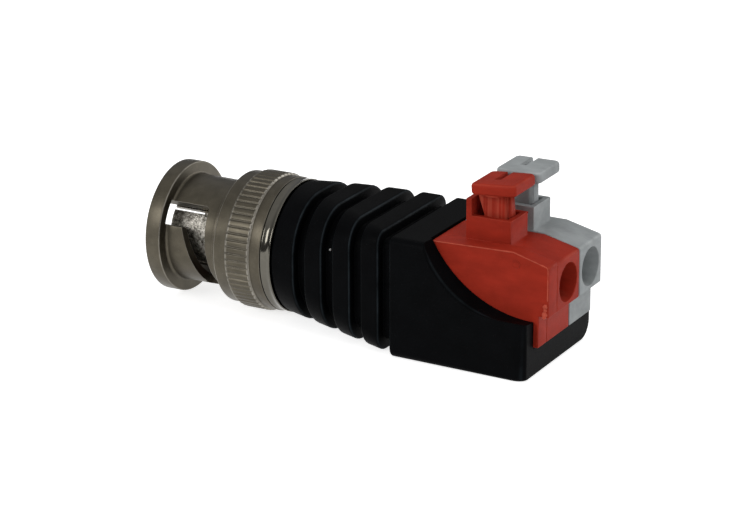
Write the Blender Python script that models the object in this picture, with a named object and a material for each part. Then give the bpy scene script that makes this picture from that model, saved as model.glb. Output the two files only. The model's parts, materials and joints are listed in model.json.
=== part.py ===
"""Bayonet coaxial plug with two spring-clamp push terminals, modelled in metres.

The connector axis runs along X: the mouth of the coupling looks to -X and the wire
entries look to +X. The flat underside of the housing lies on Z = 0.
"""
import math

import bmesh
import bpy
from mathutils import Matrix, Vector

MM = 0.001

# Lengths along the connector axis
FLANGE_LENGTH = 1.8 * MM
NECK_LENGTH = 6.85 * MM
FRONT_BAND_LENGTH = 1.5 * MM
KNURL_LENGTH = 2.95 * MM
SKIRT_LENGTH = 1.35 * MM
COLLAR_LENGTH = 1.15 * MM
BOOT_LENGTH = 14.7 * MM
BLOCK_LENGTH = 15.7 * MM
TERMINAL_STAND_OUT = 0.5 * MM
NOSE_LENGTH = 1.1 * MM

# Clearances
SEAT_GAP = 0.1 * MM
COVER_GAP = 0.03 * MM
RUNNING_GAP = 0.1 * MM
SLIDE_GAP = 0.15 * MM
TINY = 0.02 * MM
OVERCUT = 1.0 * MM

# Coupling sleeve
FLANGE_RADIUS = 7.22 * MM
COUPLING_BORE_RADIUS = 4.9 * MM
NECK_WALL = 0.95 * MM
BAND_RADIUS = 7.25 * MM
KNURL_RADIUS = 7.57 * MM
KNURL_DEPTH = 0.2 * MM
KNURL_RIDGES = 64
RING_START_DEG = 1.7
SKIRT_RADIUS = 7.35 * MM
CHAMBER_RADIUS = 6.1 * MM
EDGE_BREAK = 0.2 * MM

# Bayonet slots, as angles from the near side with + upwards
SLOT_ENTRY_TOP_DEG = 45.0
SLOT_ENTRY_LOW_DEG = 18.0
SLOT_END_DEG = -62.0
SLOT_RAMP_START = 3.7 * MM
SLOT_RAMP_RISE = 0.036 * MM
SLOT_RAMP_EASE = 0.00016 * MM
SLOT_BACK_START = 6.45 * MM
SLOT_BACK_RISE = 0.0075 * MM
SLOT_END_MIDDLE = 6.15 * MM
SLOT_END_RADIUS = 1.1 * MM
SLOT_DEPTH_RADIUS = 6.15 * MM

# Plug body, insulator and centre pin
CONTACT_RADIUS = 4.05 * MM
CONTACT_WALL = 0.45 * MM
CONTACT_RECESS = 1.2 * MM
CONTACT_SLITS = 4
SLIT_WIDTH = 0.35 * MM
SLIT_LENGTH = 4.4 * MM
PILOT_LENGTH = 1.1 * MM
BODY_FLANGE_RADIUS = 5.9 * MM
BODY_FLANGE_LENGTH = 0.8 * MM
BARREL_RADIUS = 4.5 * MM
BARREL_BORE_RADIUS = 2.9 * MM
BARREL_IN_BOOT = 8.4 * MM
CONTACT_FREE_LENGTH = 6.0 * MM
INSULATOR_LENGTH = 8.2 * MM
PIN_RADIUS = 0.68 * MM
PIN_RECESS = 1.9 * MM
PIN_SHOULDER_RADIUS = 1.2 * MM
PIN_SHOULDER_LENGTH = 1.0 * MM
PIN_CUP_RADIUS = 0.95 * MM
PIN_CUP_LENGTH = 2.6 * MM
PIN_CUP_BORE_RADIUS = 0.6 * MM
GASKET_LENGTH = 0.8 * MM

# Coupling stack: flange, wave washer, thrust washer, retaining ring
COUPLING_FLOAT = 0.6 * MM
WASHER_THICKNESS = 0.35 * MM
WAVE_THICKNESS = 0.22 * MM
WAVE_HEIGHT = 0.62 * MM
WAVE_COUNT = 3
RETAINER_THICKNESS = 0.6 * MM
RETAINER_BITE = 0.35 * MM
RETAINER_SPLIT_DEG = 24.0
COLLAR_ABOVE_BOOT = 0.1 * MM
COLLAR_BORE_GAP = 0.05 * MM

# Housing
BOOT_RADIUS = 7.2 * MM
BLOCK_HALF_WIDTH = 7.89 * MM
BLOCK_TOP_ABOVE_AXIS = 5.7 * MM
BLOCK_TOP_ROUND = 0.8 * MM
BLOCK_BOTTOM_ROUND = 0.3 * MM
BOOT_BOTTOM_ROUND = 1.5 * MM
BOOT_TOP_EASE = 1.6
GROOVE_COUNT = 4
GROOVE_FIRST = 3.48 * MM
GROOVE_PITCH = 3.5 * MM
GROOVE_WIDTH = 1.3 * MM
GROOVE_DEPTH = 1.1 * MM
RIB_ROUND = 0.3 * MM
END_ROUND = 0.6 * MM
END_BOTTOM_ROUND = 0.25 * MM
NEAR_WALL = 2.01 * MM
CAVITY_START = 3.8 * MM
CAVITY_FLOOR = 3.2 * MM
SCOOP_RADIUS = 13.14 * MM
SCOOP_LIP_BELOW_AXIS = 1.44 * MM
SCOOP_OUTER_RADIUS = 9.82 * MM
SCOOP_OUTER_SHORT = 2.5 * MM
SCOOP_OUTER_BELOW_AXIS = 1.2 * MM
SCOOP_ROUND = 0.45 * MM
WIRE_ROOM_BELOW_AXIS = 3.17 * MM
WIRE_ROOM_ABOVE_AXIS = 2.83 * MM
WIRE_ROOM_CLEARANCE = 0.35 * MM

# Terminal modules
MODULE_WIDTH = 5.33 * MM
COVER_THICKNESS = 2.05 * MM
MODULE_TOP_ABOVE_AXIS = 5.45 * MM
MODULE_EDGE = 0.12 * MM
MODULE_NOSE_ROUND = 0.3 * MM
COVER_LIP = 0.28 * MM
NOSE_BELOW_AXIS = 0.82 * MM
NOSE_DROP = 0.96 * MM
NOSE_SLOPE_LENGTH = 4.03 * MM
MODULE_ROOF = 0.85 * MM
MODULE_FLOOR = 1.2 * MM
MODULE_BACK_WALL = 0.8 * MM
MODULE_FRONT_WALL = 2.9 * MM
MODULE_SIDE_WALL = 0.7 * MM
ENTRY_RADIUS = 2.12 * MM
ENTRY_ABOVE_AXIS = 1.67 * MM
ENTRY_STRAIGHT = 1.4 * MM
ENTRY_INNER_RADIUS = 1.2 * MM
ENTRY_INNER_BELOW_AXIS = 0.55 * MM

# Button guide on each module
GUIDE_LENGTH = 5.16 * MM
GUIDE_WIDTH = 4.0 * MM
GUIDE_WALL = 0.62 * MM
GUIDE_HEIGHT = 2.55 * MM
GUIDE_BACK_HEIGHT = 4.35 * MM
GUIDE_FROM_NOSE = 5.5 * MM
GUIDE_OFFSET = 0.4 * MM

# Push buttons
BUTTON_TRAVEL = 1.6 * MM
STEM_LENGTH = 3.3 * MM
STEM_TOP_EXTRA = 0.22 * MM
STEM_TAPER = 0.55 * MM
STEM_WIDTH = 2.2 * MM
STEM_RIB_WIDTH = 1.1 * MM
STEM_RIB_DEPTH = 0.35 * MM
CAP_LENGTH = 5.08 * MM
CAP_CLEARANCE = 0.05 * MM
CAP_WIDTH = 4.9 * MM
CAP_THICKNESS = 1.2 * MM
CAP_ABOVE_MODULE = 5.3 * MM
CAP_NOTCH_WIDTH = 0.75 * MM
CAP_NOTCH_DEPTH = 3.1 * MM
CAP_EDGE = 0.28 * MM
RED_LEAN_DEG = 4.8
GREY_LEAN_DEG = 1.0
FOOT_THICKNESS = 0.5 * MM
FOOT_OVERHANG = 0.4 * MM

# Clamp springs and contacts
SPRING_THICKNESS = 0.3 * MM
SPRING_WIDTH = 3.4 * MM
SPRING_BEND_RADIUS = 1.6 * MM
SPRING_WINDOW_WIDTH = 2.7 * MM
SPRING_WINDOW_BELOW_BAR = 0.35 * MM
SPRING_WINDOW_ABOVE_BAR = 1.9 * MM
SPRING_HOOK_LENGTH = 0.7 * MM
BAR_THICKNESS = 0.6 * MM
BAR_WIDTH = 2.3 * MM
BAR_ABOVE_AXIS = 0.75 * MM
BAR_SEAT_DEPTH = 0.5 * MM
TAIL_WIDTH = 1.1 * MM
TAIL_STAND_OUT = 1.2 * MM

# Wires
WIRE_RADIUS = 0.6 * MM
WIRE_STEP = 1.4 * MM

# Positions worked out from the sizes above
METAL_LENGTH = (FLANGE_LENGTH + NECK_LENGTH + FRONT_BAND_LENGTH + KNURL_LENGTH + SKIRT_LENGTH
                + RUNNING_GAP + COLLAR_LENGTH + SEAT_GAP)
OVERALL_LENGTH = METAL_LENGTH + BOOT_LENGTH + BLOCK_LENGTH + TERMINAL_STAND_OUT + NOSE_LENGTH
MOUTH_X = -OVERALL_LENGTH / 2
FLANGE_BACK_X = MOUTH_X + FLANGE_LENGTH
SHOULDER_X = FLANGE_BACK_X + NECK_LENGTH
KNURL_X = SHOULDER_X + FRONT_BAND_LENGTH
SKIRT_X = KNURL_X + KNURL_LENGTH
COUPLING_END_X = SKIRT_X + SKIRT_LENGTH
COLLAR_X = COUPLING_END_X + RUNNING_GAP
COLLAR_END_X = COLLAR_X + COLLAR_LENGTH
BOOT_X = COLLAR_END_X + SEAT_GAP
BLOCK_X = BOOT_X + BOOT_LENGTH
BLOCK_END_X = BLOCK_X + BLOCK_LENGTH
TERMINAL_FACE_X = BLOCK_END_X + TERMINAL_STAND_OUT
NOSE_X = TERMINAL_FACE_X + NOSE_LENGTH

COLLAR_RADIUS = BOOT_RADIUS + COLLAR_ABOVE_BOOT
AXIS_Z = max(KNURL_RADIUS, FLANGE_RADIUS, BAND_RADIUS, SKIRT_RADIUS)
BLOCK_TOP_Z = AXIS_Z + BLOCK_TOP_ABOVE_AXIS
NECK_RADIUS = COUPLING_BORE_RADIUS + NECK_WALL

RETAINER_END_X = SKIRT_X - EDGE_BREAK
RETAINER_X = RETAINER_END_X - RETAINER_THICKNESS
THRUST_X = RETAINER_X - SEAT_GAP / 2 - WASHER_THICKNESS
WAVE_END_X = THRUST_X - SEAT_GAP / 2 - COUPLING_FLOAT
WAVE_X = WAVE_END_X - WAVE_HEIGHT
BODY_FLANGE_END_X = WAVE_X - SEAT_GAP / 2
BODY_FLANGE_X = BODY_FLANGE_END_X - BODY_FLANGE_LENGTH
STEP_X = BODY_FLANGE_X - RUNNING_GAP
PILOT_X = BODY_FLANGE_X - PILOT_LENGTH
PILOT_RADIUS = COUPLING_BORE_RADIUS - SLIDE_GAP
CONTACT_FRONT_X = MOUTH_X + CONTACT_RECESS
CONTACT_BORE_RADIUS = CONTACT_RADIUS - CONTACT_WALL
INSULATOR_X = CONTACT_FRONT_X + CONTACT_FREE_LENGTH
INSULATOR_END_X = INSULATOR_X + INSULATOR_LENGTH
BARREL_END_X = BOOT_X + BARREL_IN_BOOT
WASHER_BORE_RADIUS = BARREL_RADIUS + SLIDE_GAP
WASHER_RADIUS = CHAMBER_RADIUS - SLIDE_GAP
PIN_SHOULDER_X = INSULATOR_END_X + SEAT_GAP
PIN_CUP_X = PIN_SHOULDER_X + PIN_SHOULDER_LENGTH
PIN_END_X = PIN_CUP_X + PIN_CUP_LENGTH

MODULE_REAR_X = BLOCK_X + CAVITY_START + SEAT_GAP
MODULE_BOTTOM_Z = CAVITY_FLOOR + SEAT_GAP
MODULE_TOP_Z = AXIS_Z + MODULE_TOP_ABOVE_AXIS
CAVITY_NEAR_Y = -BLOCK_HALF_WIDTH + NEAR_WALL
COVER_NEAR_Y = CAVITY_NEAR_Y + SEAT_GAP
RED_NEAR_Y = COVER_NEAR_Y + COVER_THICKNESS + COVER_GAP
MODULE_PITCH = MODULE_WIDTH + SEAT_GAP
RED_Y = RED_NEAR_Y + MODULE_WIDTH / 2
GREY_Y = RED_Y + MODULE_PITCH
CAVITY_FAR_Y = GREY_Y + MODULE_WIDTH / 2 + SEAT_GAP
NOSE_BOTTOM_Z = AXIS_Z - NOSE_BELOW_AXIS
POCKET_X = MODULE_REAR_X + MODULE_BACK_WALL
POCKET_END_X = TERMINAL_FACE_X - MODULE_FRONT_WALL
POCKET_LOW_Z = MODULE_BOTTOM_Z + MODULE_FLOOR
POCKET_HIGH_Z = MODULE_TOP_Z - MODULE_ROOF
ENTRY_Z = AXIS_Z + ENTRY_ABOVE_AXIS
ENTRY_INNER_Z = AXIS_Z - ENTRY_INNER_BELOW_AXIS

GUIDE_END_X = NOSE_X - GUIDE_FROM_NOSE
GUIDE_X = GUIDE_END_X - GUIDE_LENGTH
GUIDE_TOP_Z = MODULE_TOP_Z + GUIDE_HEIGHT
GUIDE_BACK_TOP_Z = MODULE_TOP_Z + GUIDE_BACK_HEIGHT
CHANNEL_X = GUIDE_X + GUIDE_WALL
CHANNEL_END_X = GUIDE_END_X - GUIDE_WALL
CHANNEL_WIDTH = GUIDE_WIDTH - 2 * GUIDE_WALL

CAP_Z = MODULE_TOP_Z + CAP_ABOVE_MODULE
LEAN_REACH = GUIDE_BACK_HEIGHT - GUIDE_HEIGHT + BUTTON_TRAVEL
CAP_X = CHANNEL_X + CAP_CLEARANCE + LEAN_REACH * math.sin(math.radians(RED_LEAN_DEG))
STEM_END_X = CHANNEL_END_X - RUNNING_GAP
STEM_X = STEM_END_X - STEM_LENGTH
FOOT_TOP_Z = POCKET_HIGH_Z - RUNNING_GAP
FOOT_Z = FOOT_TOP_Z - FOOT_THICKNESS

BAR_Z = AXIS_Z + BAR_ABOVE_AXIS
SPRING_TOP_Z = FOOT_Z - RUNNING_GAP
SPRING_LOW_Z = POCKET_LOW_Z + RUNNING_GAP
SPRING_END_X = POCKET_END_X - 2 * RUNNING_GAP
TAIL_X = MODULE_REAR_X - TAIL_STAND_OUT
TAIL_Z = BAR_Z + BAR_THICKNESS / 2


def clear_scene():
    for item in list(bpy.data.objects):
        bpy.data.objects.remove(item, do_unlink=True)


def make_material(name, color, roughness, metallic=0.0):
    material = bpy.data.materials.new(name)
    material.use_nodes = True
    shader = material.node_tree.nodes["Principled BSDF"]
    shader.inputs["Base Color"].default_value = (*color, 1.0)
    shader.inputs["Roughness"].default_value = roughness
    shader.inputs["Metallic"].default_value = metallic
    return material


def finish_object(name, shape, material=None, smooth_deg=30.0):
    """Turn a bmesh into a named object with its normals out and round faces smooth."""
    bmesh.ops.recalc_face_normals(shape, faces=shape.faces)
    mesh = bpy.data.meshes.new(name)
    shape.to_mesh(mesh)
    shape.free()
    mesh.shade_smooth()
    mesh.set_sharp_from_angle(angle=math.radians(smooth_deg))
    item = bpy.data.objects.new(name, mesh)
    bpy.context.collection.objects.link(item)
    if material is not None:
        mesh.materials.append(material)
    return item


def as_cutter(item):
    item.hide_render = True
    item.display_type = 'WIRE'
    return item


def combine(item, other, operation='DIFFERENCE'):
    """Cut with, or add, another solid, which stays in the file as a guide."""
    as_cutter(other)
    modifier = item.modifiers.new(other.name, 'BOOLEAN')
    modifier.operation = operation
    modifier.solver = 'EXACT'
    modifier.object = other
    return item


def turned_solid(name, profile, steps, material=None):
    """Spin a closed (x, radius) profile round the connector axis."""
    shape = bmesh.new()
    ring = [shape.verts.new((x, 0.0, AXIS_Z + radius)) for x, radius in profile]
    for a, b in zip(ring, ring[1:] + ring[:1]):
        if profile[ring.index(a)][1] > 0.0 or profile[ring.index(b)][1] > 0.0:
            shape.edges.new((a, b))
    bmesh.ops.spin(shape, geom=shape.verts[:] + shape.edges[:], cent=(0.0, 0.0, AXIS_Z),
                   axis=(1.0, 0.0, 0.0), angle=2 * math.pi, steps=steps, use_merge=True)
    bmesh.ops.remove_doubles(shape, verts=shape.verts, dist=1e-7)
    return finish_object(name, shape, material)


def lofted_solid(name, sections, material=None):
    """Skin a row of loops that have the same number of points, and cap both ends."""
    shape = bmesh.new()
    loops = [[shape.verts.new(point) for point in section] for section in sections]
    count = len(loops[0])
    for a, b in zip(loops, loops[1:]):
        for i in range(count):
            j = (i + 1) % count
            shape.faces.new((a[i], a[j], b[j], b[i]))
    shape.faces.new(loops[0])
    shape.faces.new(loops[-1])
    return finish_object(name, shape, material)


def plate(name, outline, y_low, y_high, material=None, near_edge=0.0, far_edge=0.0):
    """Extrude an (x, z) outline across the part, with chamfers round its near and far sides."""
    shape = bmesh.new()
    near = [shape.verts.new((x, y_low, z)) for x, z in outline]
    face = shape.faces.new(near)
    moved = bmesh.ops.extrude_face_region(shape, geom=[face])
    top = [v for v in moved["geom"] if isinstance(v, bmesh.types.BMVert)]
    bmesh.ops.translate(shape, verts=top, vec=(0.0, y_high - y_low, 0.0))
    for y, size in ((y_low, near_edge), (y_high, far_edge)):
        if size > 0.0:
            rim = [e for e in shape.edges if all(abs(v.co.y - y) < TINY / 10 for v in e.verts)]
            bmesh.ops.bevel(shape, geom=rim, offset=size, segments=1, affect='EDGES')
    return finish_object(name, shape, material)


def block(name, low, high, material=None, edge=0.0):
    shape = bmesh.new()
    bmesh.ops.create_cube(shape, size=1.0)
    low, high = Vector(low), Vector(high)
    bmesh.ops.scale(shape, verts=shape.verts, vec=high - low)
    bmesh.ops.translate(shape, verts=shape.verts, vec=(low + high) / 2)
    if edge > 0.0:
        bmesh.ops.bevel(shape, geom=shape.edges[:], offset=edge, segments=2, affect='EDGES',
                        profile=0.5)
    return finish_object(name, shape, material)


def arc(center, radius, start_deg, end_deg, steps):
    points = []
    for i in range(steps + 1):
        angle = math.radians(start_deg + (end_deg - start_deg) * i / steps)
        points.append((center[0] + radius * math.cos(angle), center[1] + radius * math.sin(angle)))
    return points


def around_axis(x, radius, angle_deg):
    """A point at an angle from the near side of the connector axis, + upwards."""
    angle = math.radians(angle_deg)
    return (x, -radius * math.cos(angle), AXIS_Z + radius * math.sin(angle))


def ringed_solid(name, rings, material=None):
    """Skin a closed chain of rings; neighbours may differ by a factor of two in point count."""
    shape = bmesh.new()
    loops = [[shape.verts.new(point) for point in ring] for ring in rings]
    for a, b in zip(loops, loops[1:] + loops[:1]):
        if len(a) > len(b):
            a, b = b, a
        share = len(b) // len(a)
        for i in range(len(a)):
            j = (i + 1) % len(a)
            span = [b[(i * share + k) % len(b)] for k in range(share + 1)]
            shape.faces.new([a[j], a[i]] + span)
    return finish_object(name, shape, material)


def full_ring(x, radius, count):
    return [around_axis(x, radius, RING_START_DEG + 360.0 * i / count) for i in range(count)]


def knurl_ring(x, count):
    """A ring whose points alternate between the crests and the roots of the knurl."""
    radii = [KNURL_RADIUS - KNURL_DEPTH * (i % 2) for i in range(count)]
    return [around_axis(x, radii[i], RING_START_DEG + 360.0 * i / count) for i in range(count)]


def coupling_rings():
    bore = COUPLING_BORE_RADIUS
    step = EDGE_BREAK
    inside = [
        (COUPLING_END_X, CHAMBER_RADIUS),
        (RETAINER_END_X + SEAT_GAP / 2, CHAMBER_RADIUS),
        (RETAINER_END_X + SEAT_GAP / 2, CHAMBER_RADIUS + RETAINER_BITE),
        (RETAINER_X - SEAT_GAP / 2, CHAMBER_RADIUS + RETAINER_BITE),
        (RETAINER_X - SEAT_GAP / 2, CHAMBER_RADIUS),
        (STEP_X, CHAMBER_RADIUS),
        (STEP_X, bore),
        (MOUTH_X + step, bore),
        (MOUTH_X, bore + step),
        (MOUTH_X, FLANGE_RADIUS - step),
        (MOUTH_X + step, FLANGE_RADIUS),
        (FLANGE_BACK_X - step / 2, FLANGE_RADIUS),
        (FLANGE_BACK_X, FLANGE_RADIUS - step / 2),
        (FLANGE_BACK_X, NECK_RADIUS + step),
        (FLANGE_BACK_X + step, NECK_RADIUS),
        (SHOULDER_X - step, NECK_RADIUS),
        (SHOULDER_X, NECK_RADIUS + step),
    ]
    fine = 2 * KNURL_RIDGES
    rings = [full_ring(x, radius, KNURL_RIDGES) for x, radius in inside]
    rings += [
        full_ring(SHOULDER_X, BAND_RADIUS - step, fine),
        full_ring(SHOULDER_X + step, BAND_RADIUS, fine),
        full_ring(KNURL_X, BAND_RADIUS, fine),
        knurl_ring(KNURL_X + step, fine),
        knurl_ring(SKIRT_X - step, fine),
        full_ring(SKIRT_X, SKIRT_RADIUS, fine),
        full_ring(COUPLING_END_X - step, SKIRT_RADIUS, fine),
        full_ring(COUPLING_END_X, SKIRT_RADIUS - step, fine),
    ]
    return rings


def slot_span(angle_deg):
    """Front and back edge of a bayonet slot, from the mouth, at one angle round the neck."""
    front = -OVERCUT
    if angle_deg <= SLOT_ENTRY_LOW_DEG:
        down = SLOT_ENTRY_LOW_DEG - angle_deg
        front = SLOT_RAMP_START + SLOT_RAMP_RISE * down - SLOT_RAMP_EASE * down * down
    back = SLOT_BACK_START + SLOT_BACK_RISE * (SLOT_ENTRY_TOP_DEG - angle_deg)
    along = math.radians(angle_deg - SLOT_END_DEG) * NECK_RADIUS
    reach = math.sqrt(max(SLOT_END_RADIUS ** 2 - along ** 2, 0.0))
    if angle_deg < SLOT_END_DEG:
        return SLOT_END_MIDDLE - reach, SLOT_END_MIDDLE + reach
    if reach > 0.0:
        return min(front, SLOT_END_MIDDLE - reach), max(back, SLOT_END_MIDDLE + reach)
    return front, back


def slot_angles():
    """Angles at which the slot is sectioned, closest where its outline turns."""
    entry = [SLOT_ENTRY_TOP_DEG - 4.0 - 5.5 * i for i in range(5)]
    entry = [angle for angle in entry if angle > SLOT_ENTRY_LOW_DEG + 1.0]
    ramp_end = SLOT_END_DEG + math.degrees(SLOT_END_RADIUS / NECK_RADIUS)
    ramp = [SLOT_ENTRY_LOW_DEG + (ramp_end - SLOT_ENTRY_LOW_DEG) * i / 9 for i in range(9)]
    end = []
    for i in range(9):
        turn = math.pi * (i + 0.3) / 8.6
        end.append(SLOT_END_DEG + math.degrees(SLOT_END_RADIUS * math.cos(turn) / NECK_RADIUS))
    return entry + [SLOT_ENTRY_LOW_DEG + 0.2] + ramp + end


def slot_cutter(name, turn_deg):
    """One bayonet slot as a solid between two cylinders round the axis."""
    corner = 2 * EDGE_BREAK
    corner_deg = math.degrees(corner / NECK_RADIUS)
    spans = []
    for turn in (0.0, 30.0, 60.0, 90.0):
        angle = SLOT_ENTRY_TOP_DEG - corner_deg * (1 - math.cos(math.radians(turn)))
        back = SLOT_BACK_START - corner * (1 - math.sin(math.radians(turn)))
        spans.append((angle, -OVERCUT, back))
    spans += [(angle, *slot_span(angle)) for angle in slot_angles()]
    inner = COUPLING_BORE_RADIUS - OVERCUT
    sections = []
    for angle, front, back in spans:
        corners = ((front, inner), (back, inner), (back, SLOT_DEPTH_RADIUS), (front, SLOT_DEPTH_RADIUS))
        sections.append([around_axis(MOUTH_X + x, radius, angle + turn_deg) for x, radius in corners])
    return lofted_solid(name, sections)


def build_coupling(nickel):
    sleeve = ringed_solid("coupling_sleeve", coupling_rings(), nickel)
    for index, turn in enumerate((0.0, 180.0)):
        combine(sleeve, slot_cutter("bayonet_slot_guide_%d" % (index + 1), turn))
    return sleeve


def build_plug_body(nickel):
    """Turned body: slotted outer contact, pilot, stop flange and hollow barrel."""
    edge = EDGE_BREAK / 2
    profile = [
        (CONTACT_FRONT_X, CONTACT_BORE_RADIUS),
        (CONTACT_FRONT_X, CONTACT_RADIUS - edge),
        (CONTACT_FRONT_X + edge, CONTACT_RADIUS),
        (PILOT_X, CONTACT_RADIUS),
        (PILOT_X, PILOT_RADIUS),
        (BODY_FLANGE_X, PILOT_RADIUS),
        (BODY_FLANGE_X, BODY_FLANGE_RADIUS),
        (BODY_FLANGE_END_X, BODY_FLANGE_RADIUS),
        (BODY_FLANGE_END_X, BARREL_RADIUS),
        (BARREL_END_X - edge, BARREL_RADIUS),
        (BARREL_END_X, BARREL_RADIUS - edge),
        (BARREL_END_X, BARREL_BORE_RADIUS),
        (INSULATOR_END_X + SEAT_GAP, BARREL_BORE_RADIUS),
        (INSULATOR_END_X + SEAT_GAP, CONTACT_BORE_RADIUS),
    ]
    body = turned_solid("plug_body", profile, 48, nickel)
    for index in range(CONTACT_SLITS // 2):
        angle = 45.0 + 360.0 * index / CONTACT_SLITS
        slit = block("contact_slit_guide_%d" % (index + 1),
                     (-SLIT_LENGTH / 2 - OVERCUT, -CONTACT_RADIUS - OVERCUT, -SLIT_WIDTH / 2),
                     (SLIT_LENGTH / 2, CONTACT_RADIUS + OVERCUT, SLIT_WIDTH / 2))
        slit.location = (CONTACT_FRONT_X + SLIT_LENGTH / 2, 0.0, AXIS_Z)
        slit.rotation_euler = (math.radians(angle), 0.0, 0.0)
        combine(body, slit)
    return body


def build_insulator(polymer):
    hole = PIN_RADIUS + COLLAR_BORE_GAP
    radius = CONTACT_BORE_RADIUS - COLLAR_BORE_GAP
    profile = [(INSULATOR_X, hole), (INSULATOR_X, radius), (INSULATOR_END_X, radius),
               (INSULATOR_END_X, hole)]
    return turned_solid("insulator", profile, 32, polymer)


def build_centre_pin(gold):
    tip_x = MOUTH_X + PIN_RECESS
    nose = [(tip_x + PIN_RADIUS - x, r) for x, r in arc((0.0, 0.0), PIN_RADIUS, 0.0, 90.0, 4)]
    profile = [(tip_x, 0.0)] + nose[1:] + [
        (PIN_SHOULDER_X, PIN_RADIUS),
        (PIN_SHOULDER_X, PIN_SHOULDER_RADIUS),
        (PIN_CUP_X, PIN_SHOULDER_RADIUS),
        (PIN_CUP_X, PIN_CUP_RADIUS),
        (PIN_END_X, PIN_CUP_RADIUS),
        (PIN_END_X, PIN_CUP_BORE_RADIUS),
        (PIN_CUP_X + EDGE_BREAK, PIN_CUP_BORE_RADIUS),
        (PIN_CUP_X + EDGE_BREAK, 0.0),
    ]
    return turned_solid("centre_pin", profile, 16, gold)


def build_ring(name, x, length, inner, outer, steps, material):
    profile = [(x, inner), (x, outer), (x + length, outer), (x + length, inner)]
    return turned_solid(name, profile, steps, material)


def build_gasket(rubber):
    end = PILOT_X - SEAT_GAP
    return build_ring("gasket", end - GASKET_LENGTH, GASKET_LENGTH, CONTACT_RADIUS + COLLAR_BORE_GAP,
                      PILOT_RADIUS, 32, rubber)


def build_wave_washer(steel):
    """Spring washer whose face rises and falls round the barrel."""
    steps = 36
    swing = (WAVE_HEIGHT - WAVE_THICKNESS) / 2
    shape = bmesh.new()
    rings = []
    for i in range(steps):
        angle = 360.0 * i / steps
        x = WAVE_X + swing * (1 + math.sin(math.radians(angle * WAVE_COUNT)))
        corners = ((x, WASHER_BORE_RADIUS), (x, WASHER_RADIUS - SLIDE_GAP),
                   (x + WAVE_THICKNESS, WASHER_RADIUS - SLIDE_GAP), (x + WAVE_THICKNESS, WASHER_BORE_RADIUS))
        rings.append([shape.verts.new(around_axis(px, r, angle)) for px, r in corners])
    for a, b in zip(rings, rings[1:] + rings[:1]):
        for i in range(4):
            j = (i + 1) % 4
            shape.faces.new((a[i], a[j], b[j], b[i]))
    return finish_object("wave_washer", shape, steel)


def build_retaining_ring(steel):
    """Split spring ring that snaps into the groove of the coupling sleeve."""
    steps = 32
    outer = CHAMBER_RADIUS + RETAINER_BITE - SLIDE_GAP / 2
    shape = bmesh.new()
    rings = []
    for i in range(steps + 1):
        angle = RETAINER_SPLIT_DEG / 2 + (360.0 - RETAINER_SPLIT_DEG) * i / steps
        corners = ((RETAINER_X, WASHER_BORE_RADIUS), (RETAINER_X, outer),
                   (RETAINER_END_X, outer), (RETAINER_END_X, WASHER_BORE_RADIUS))
        rings.append([shape.verts.new(around_axis(x, r, angle)) for x, r in corners])
    for a, b in zip(rings, rings[1:]):
        for i in range(4):
            j = (i + 1) % 4
            shape.faces.new((a[i], a[j], b[j], b[i]))
    shape.faces.new(rings[0])
    shape.faces.new(rings[-1])
    return finish_object("retaining_ring", shape, steel)


def build_rear_collar(nickel):
    """Polished ring pressed on the barrel, in front of the boot."""
    edge = EDGE_BREAK
    profile = [(COLLAR_X, BARREL_RADIUS + COLLAR_BORE_GAP), (COLLAR_X, COLLAR_RADIUS - edge),
               (COLLAR_X + edge, COLLAR_RADIUS), (COLLAR_END_X - 2 * edge, COLLAR_RADIUS),
               (COLLAR_END_X, COLLAR_RADIUS - edge), (COLLAR_END_X, BARREL_RADIUS + COLLAR_BORE_GAP)]
    return turned_solid("rear_collar", profile, 60, nickel)


def section_loop(x, half_width, low, high, top_round, bottom_round):
    """Rectangle in the YZ plane with rounded corners, a circle where the radii are the half width."""
    limit = min(half_width, (high - low) / 2) - TINY / 10
    top_round = min(max(top_round, TINY), limit)
    bottom_round = min(max(bottom_round, TINY), limit)
    corners = ((0.0, half_width - top_round, high - top_round, top_round),
               (90.0, top_round - half_width, high - top_round, top_round),
               (180.0, bottom_round - half_width, low + bottom_round, bottom_round),
               (270.0, half_width - bottom_round, low + bottom_round, bottom_round))
    points = []
    for start, cy, cz, radius in corners:
        points += [(x, y, z) for y, z in arc((cy, cz), radius, start, start + 90.0, 7)]
    return points


def boot_section(x, inset=0.0):
    """Outer section of the ribbed boot: round at the collar, square-shouldered at the block."""
    share = min(max((x - BOOT_X) / BOOT_LENGTH, 0.0), 1.0)
    half_width = BOOT_RADIUS + (BLOCK_HALF_WIDTH - BOOT_RADIUS) * share
    low = (AXIS_Z - BOOT_RADIUS) * (1.0 - share)
    high = AXIS_Z + BOOT_RADIUS + (BLOCK_TOP_ABOVE_AXIS - BOOT_RADIUS) * share ** BOOT_TOP_EASE
    top_round = BOOT_RADIUS + (BLOCK_TOP_ROUND - BOOT_RADIUS) * share
    bottom_round = BOOT_RADIUS + (BOOT_BOTTOM_ROUND - BOOT_RADIUS) * share
    return section_loop(x, half_width - inset, low + inset, high - inset, top_round - inset / 2,
                        bottom_round - inset / 2)


def block_section(x, inset=0.0, bottom_inset=0.0):
    return section_loop(x, BLOCK_HALF_WIDTH - inset, bottom_inset, BLOCK_TOP_Z - inset, BLOCK_TOP_ROUND,
                        BLOCK_BOTTOM_ROUND)


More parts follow.
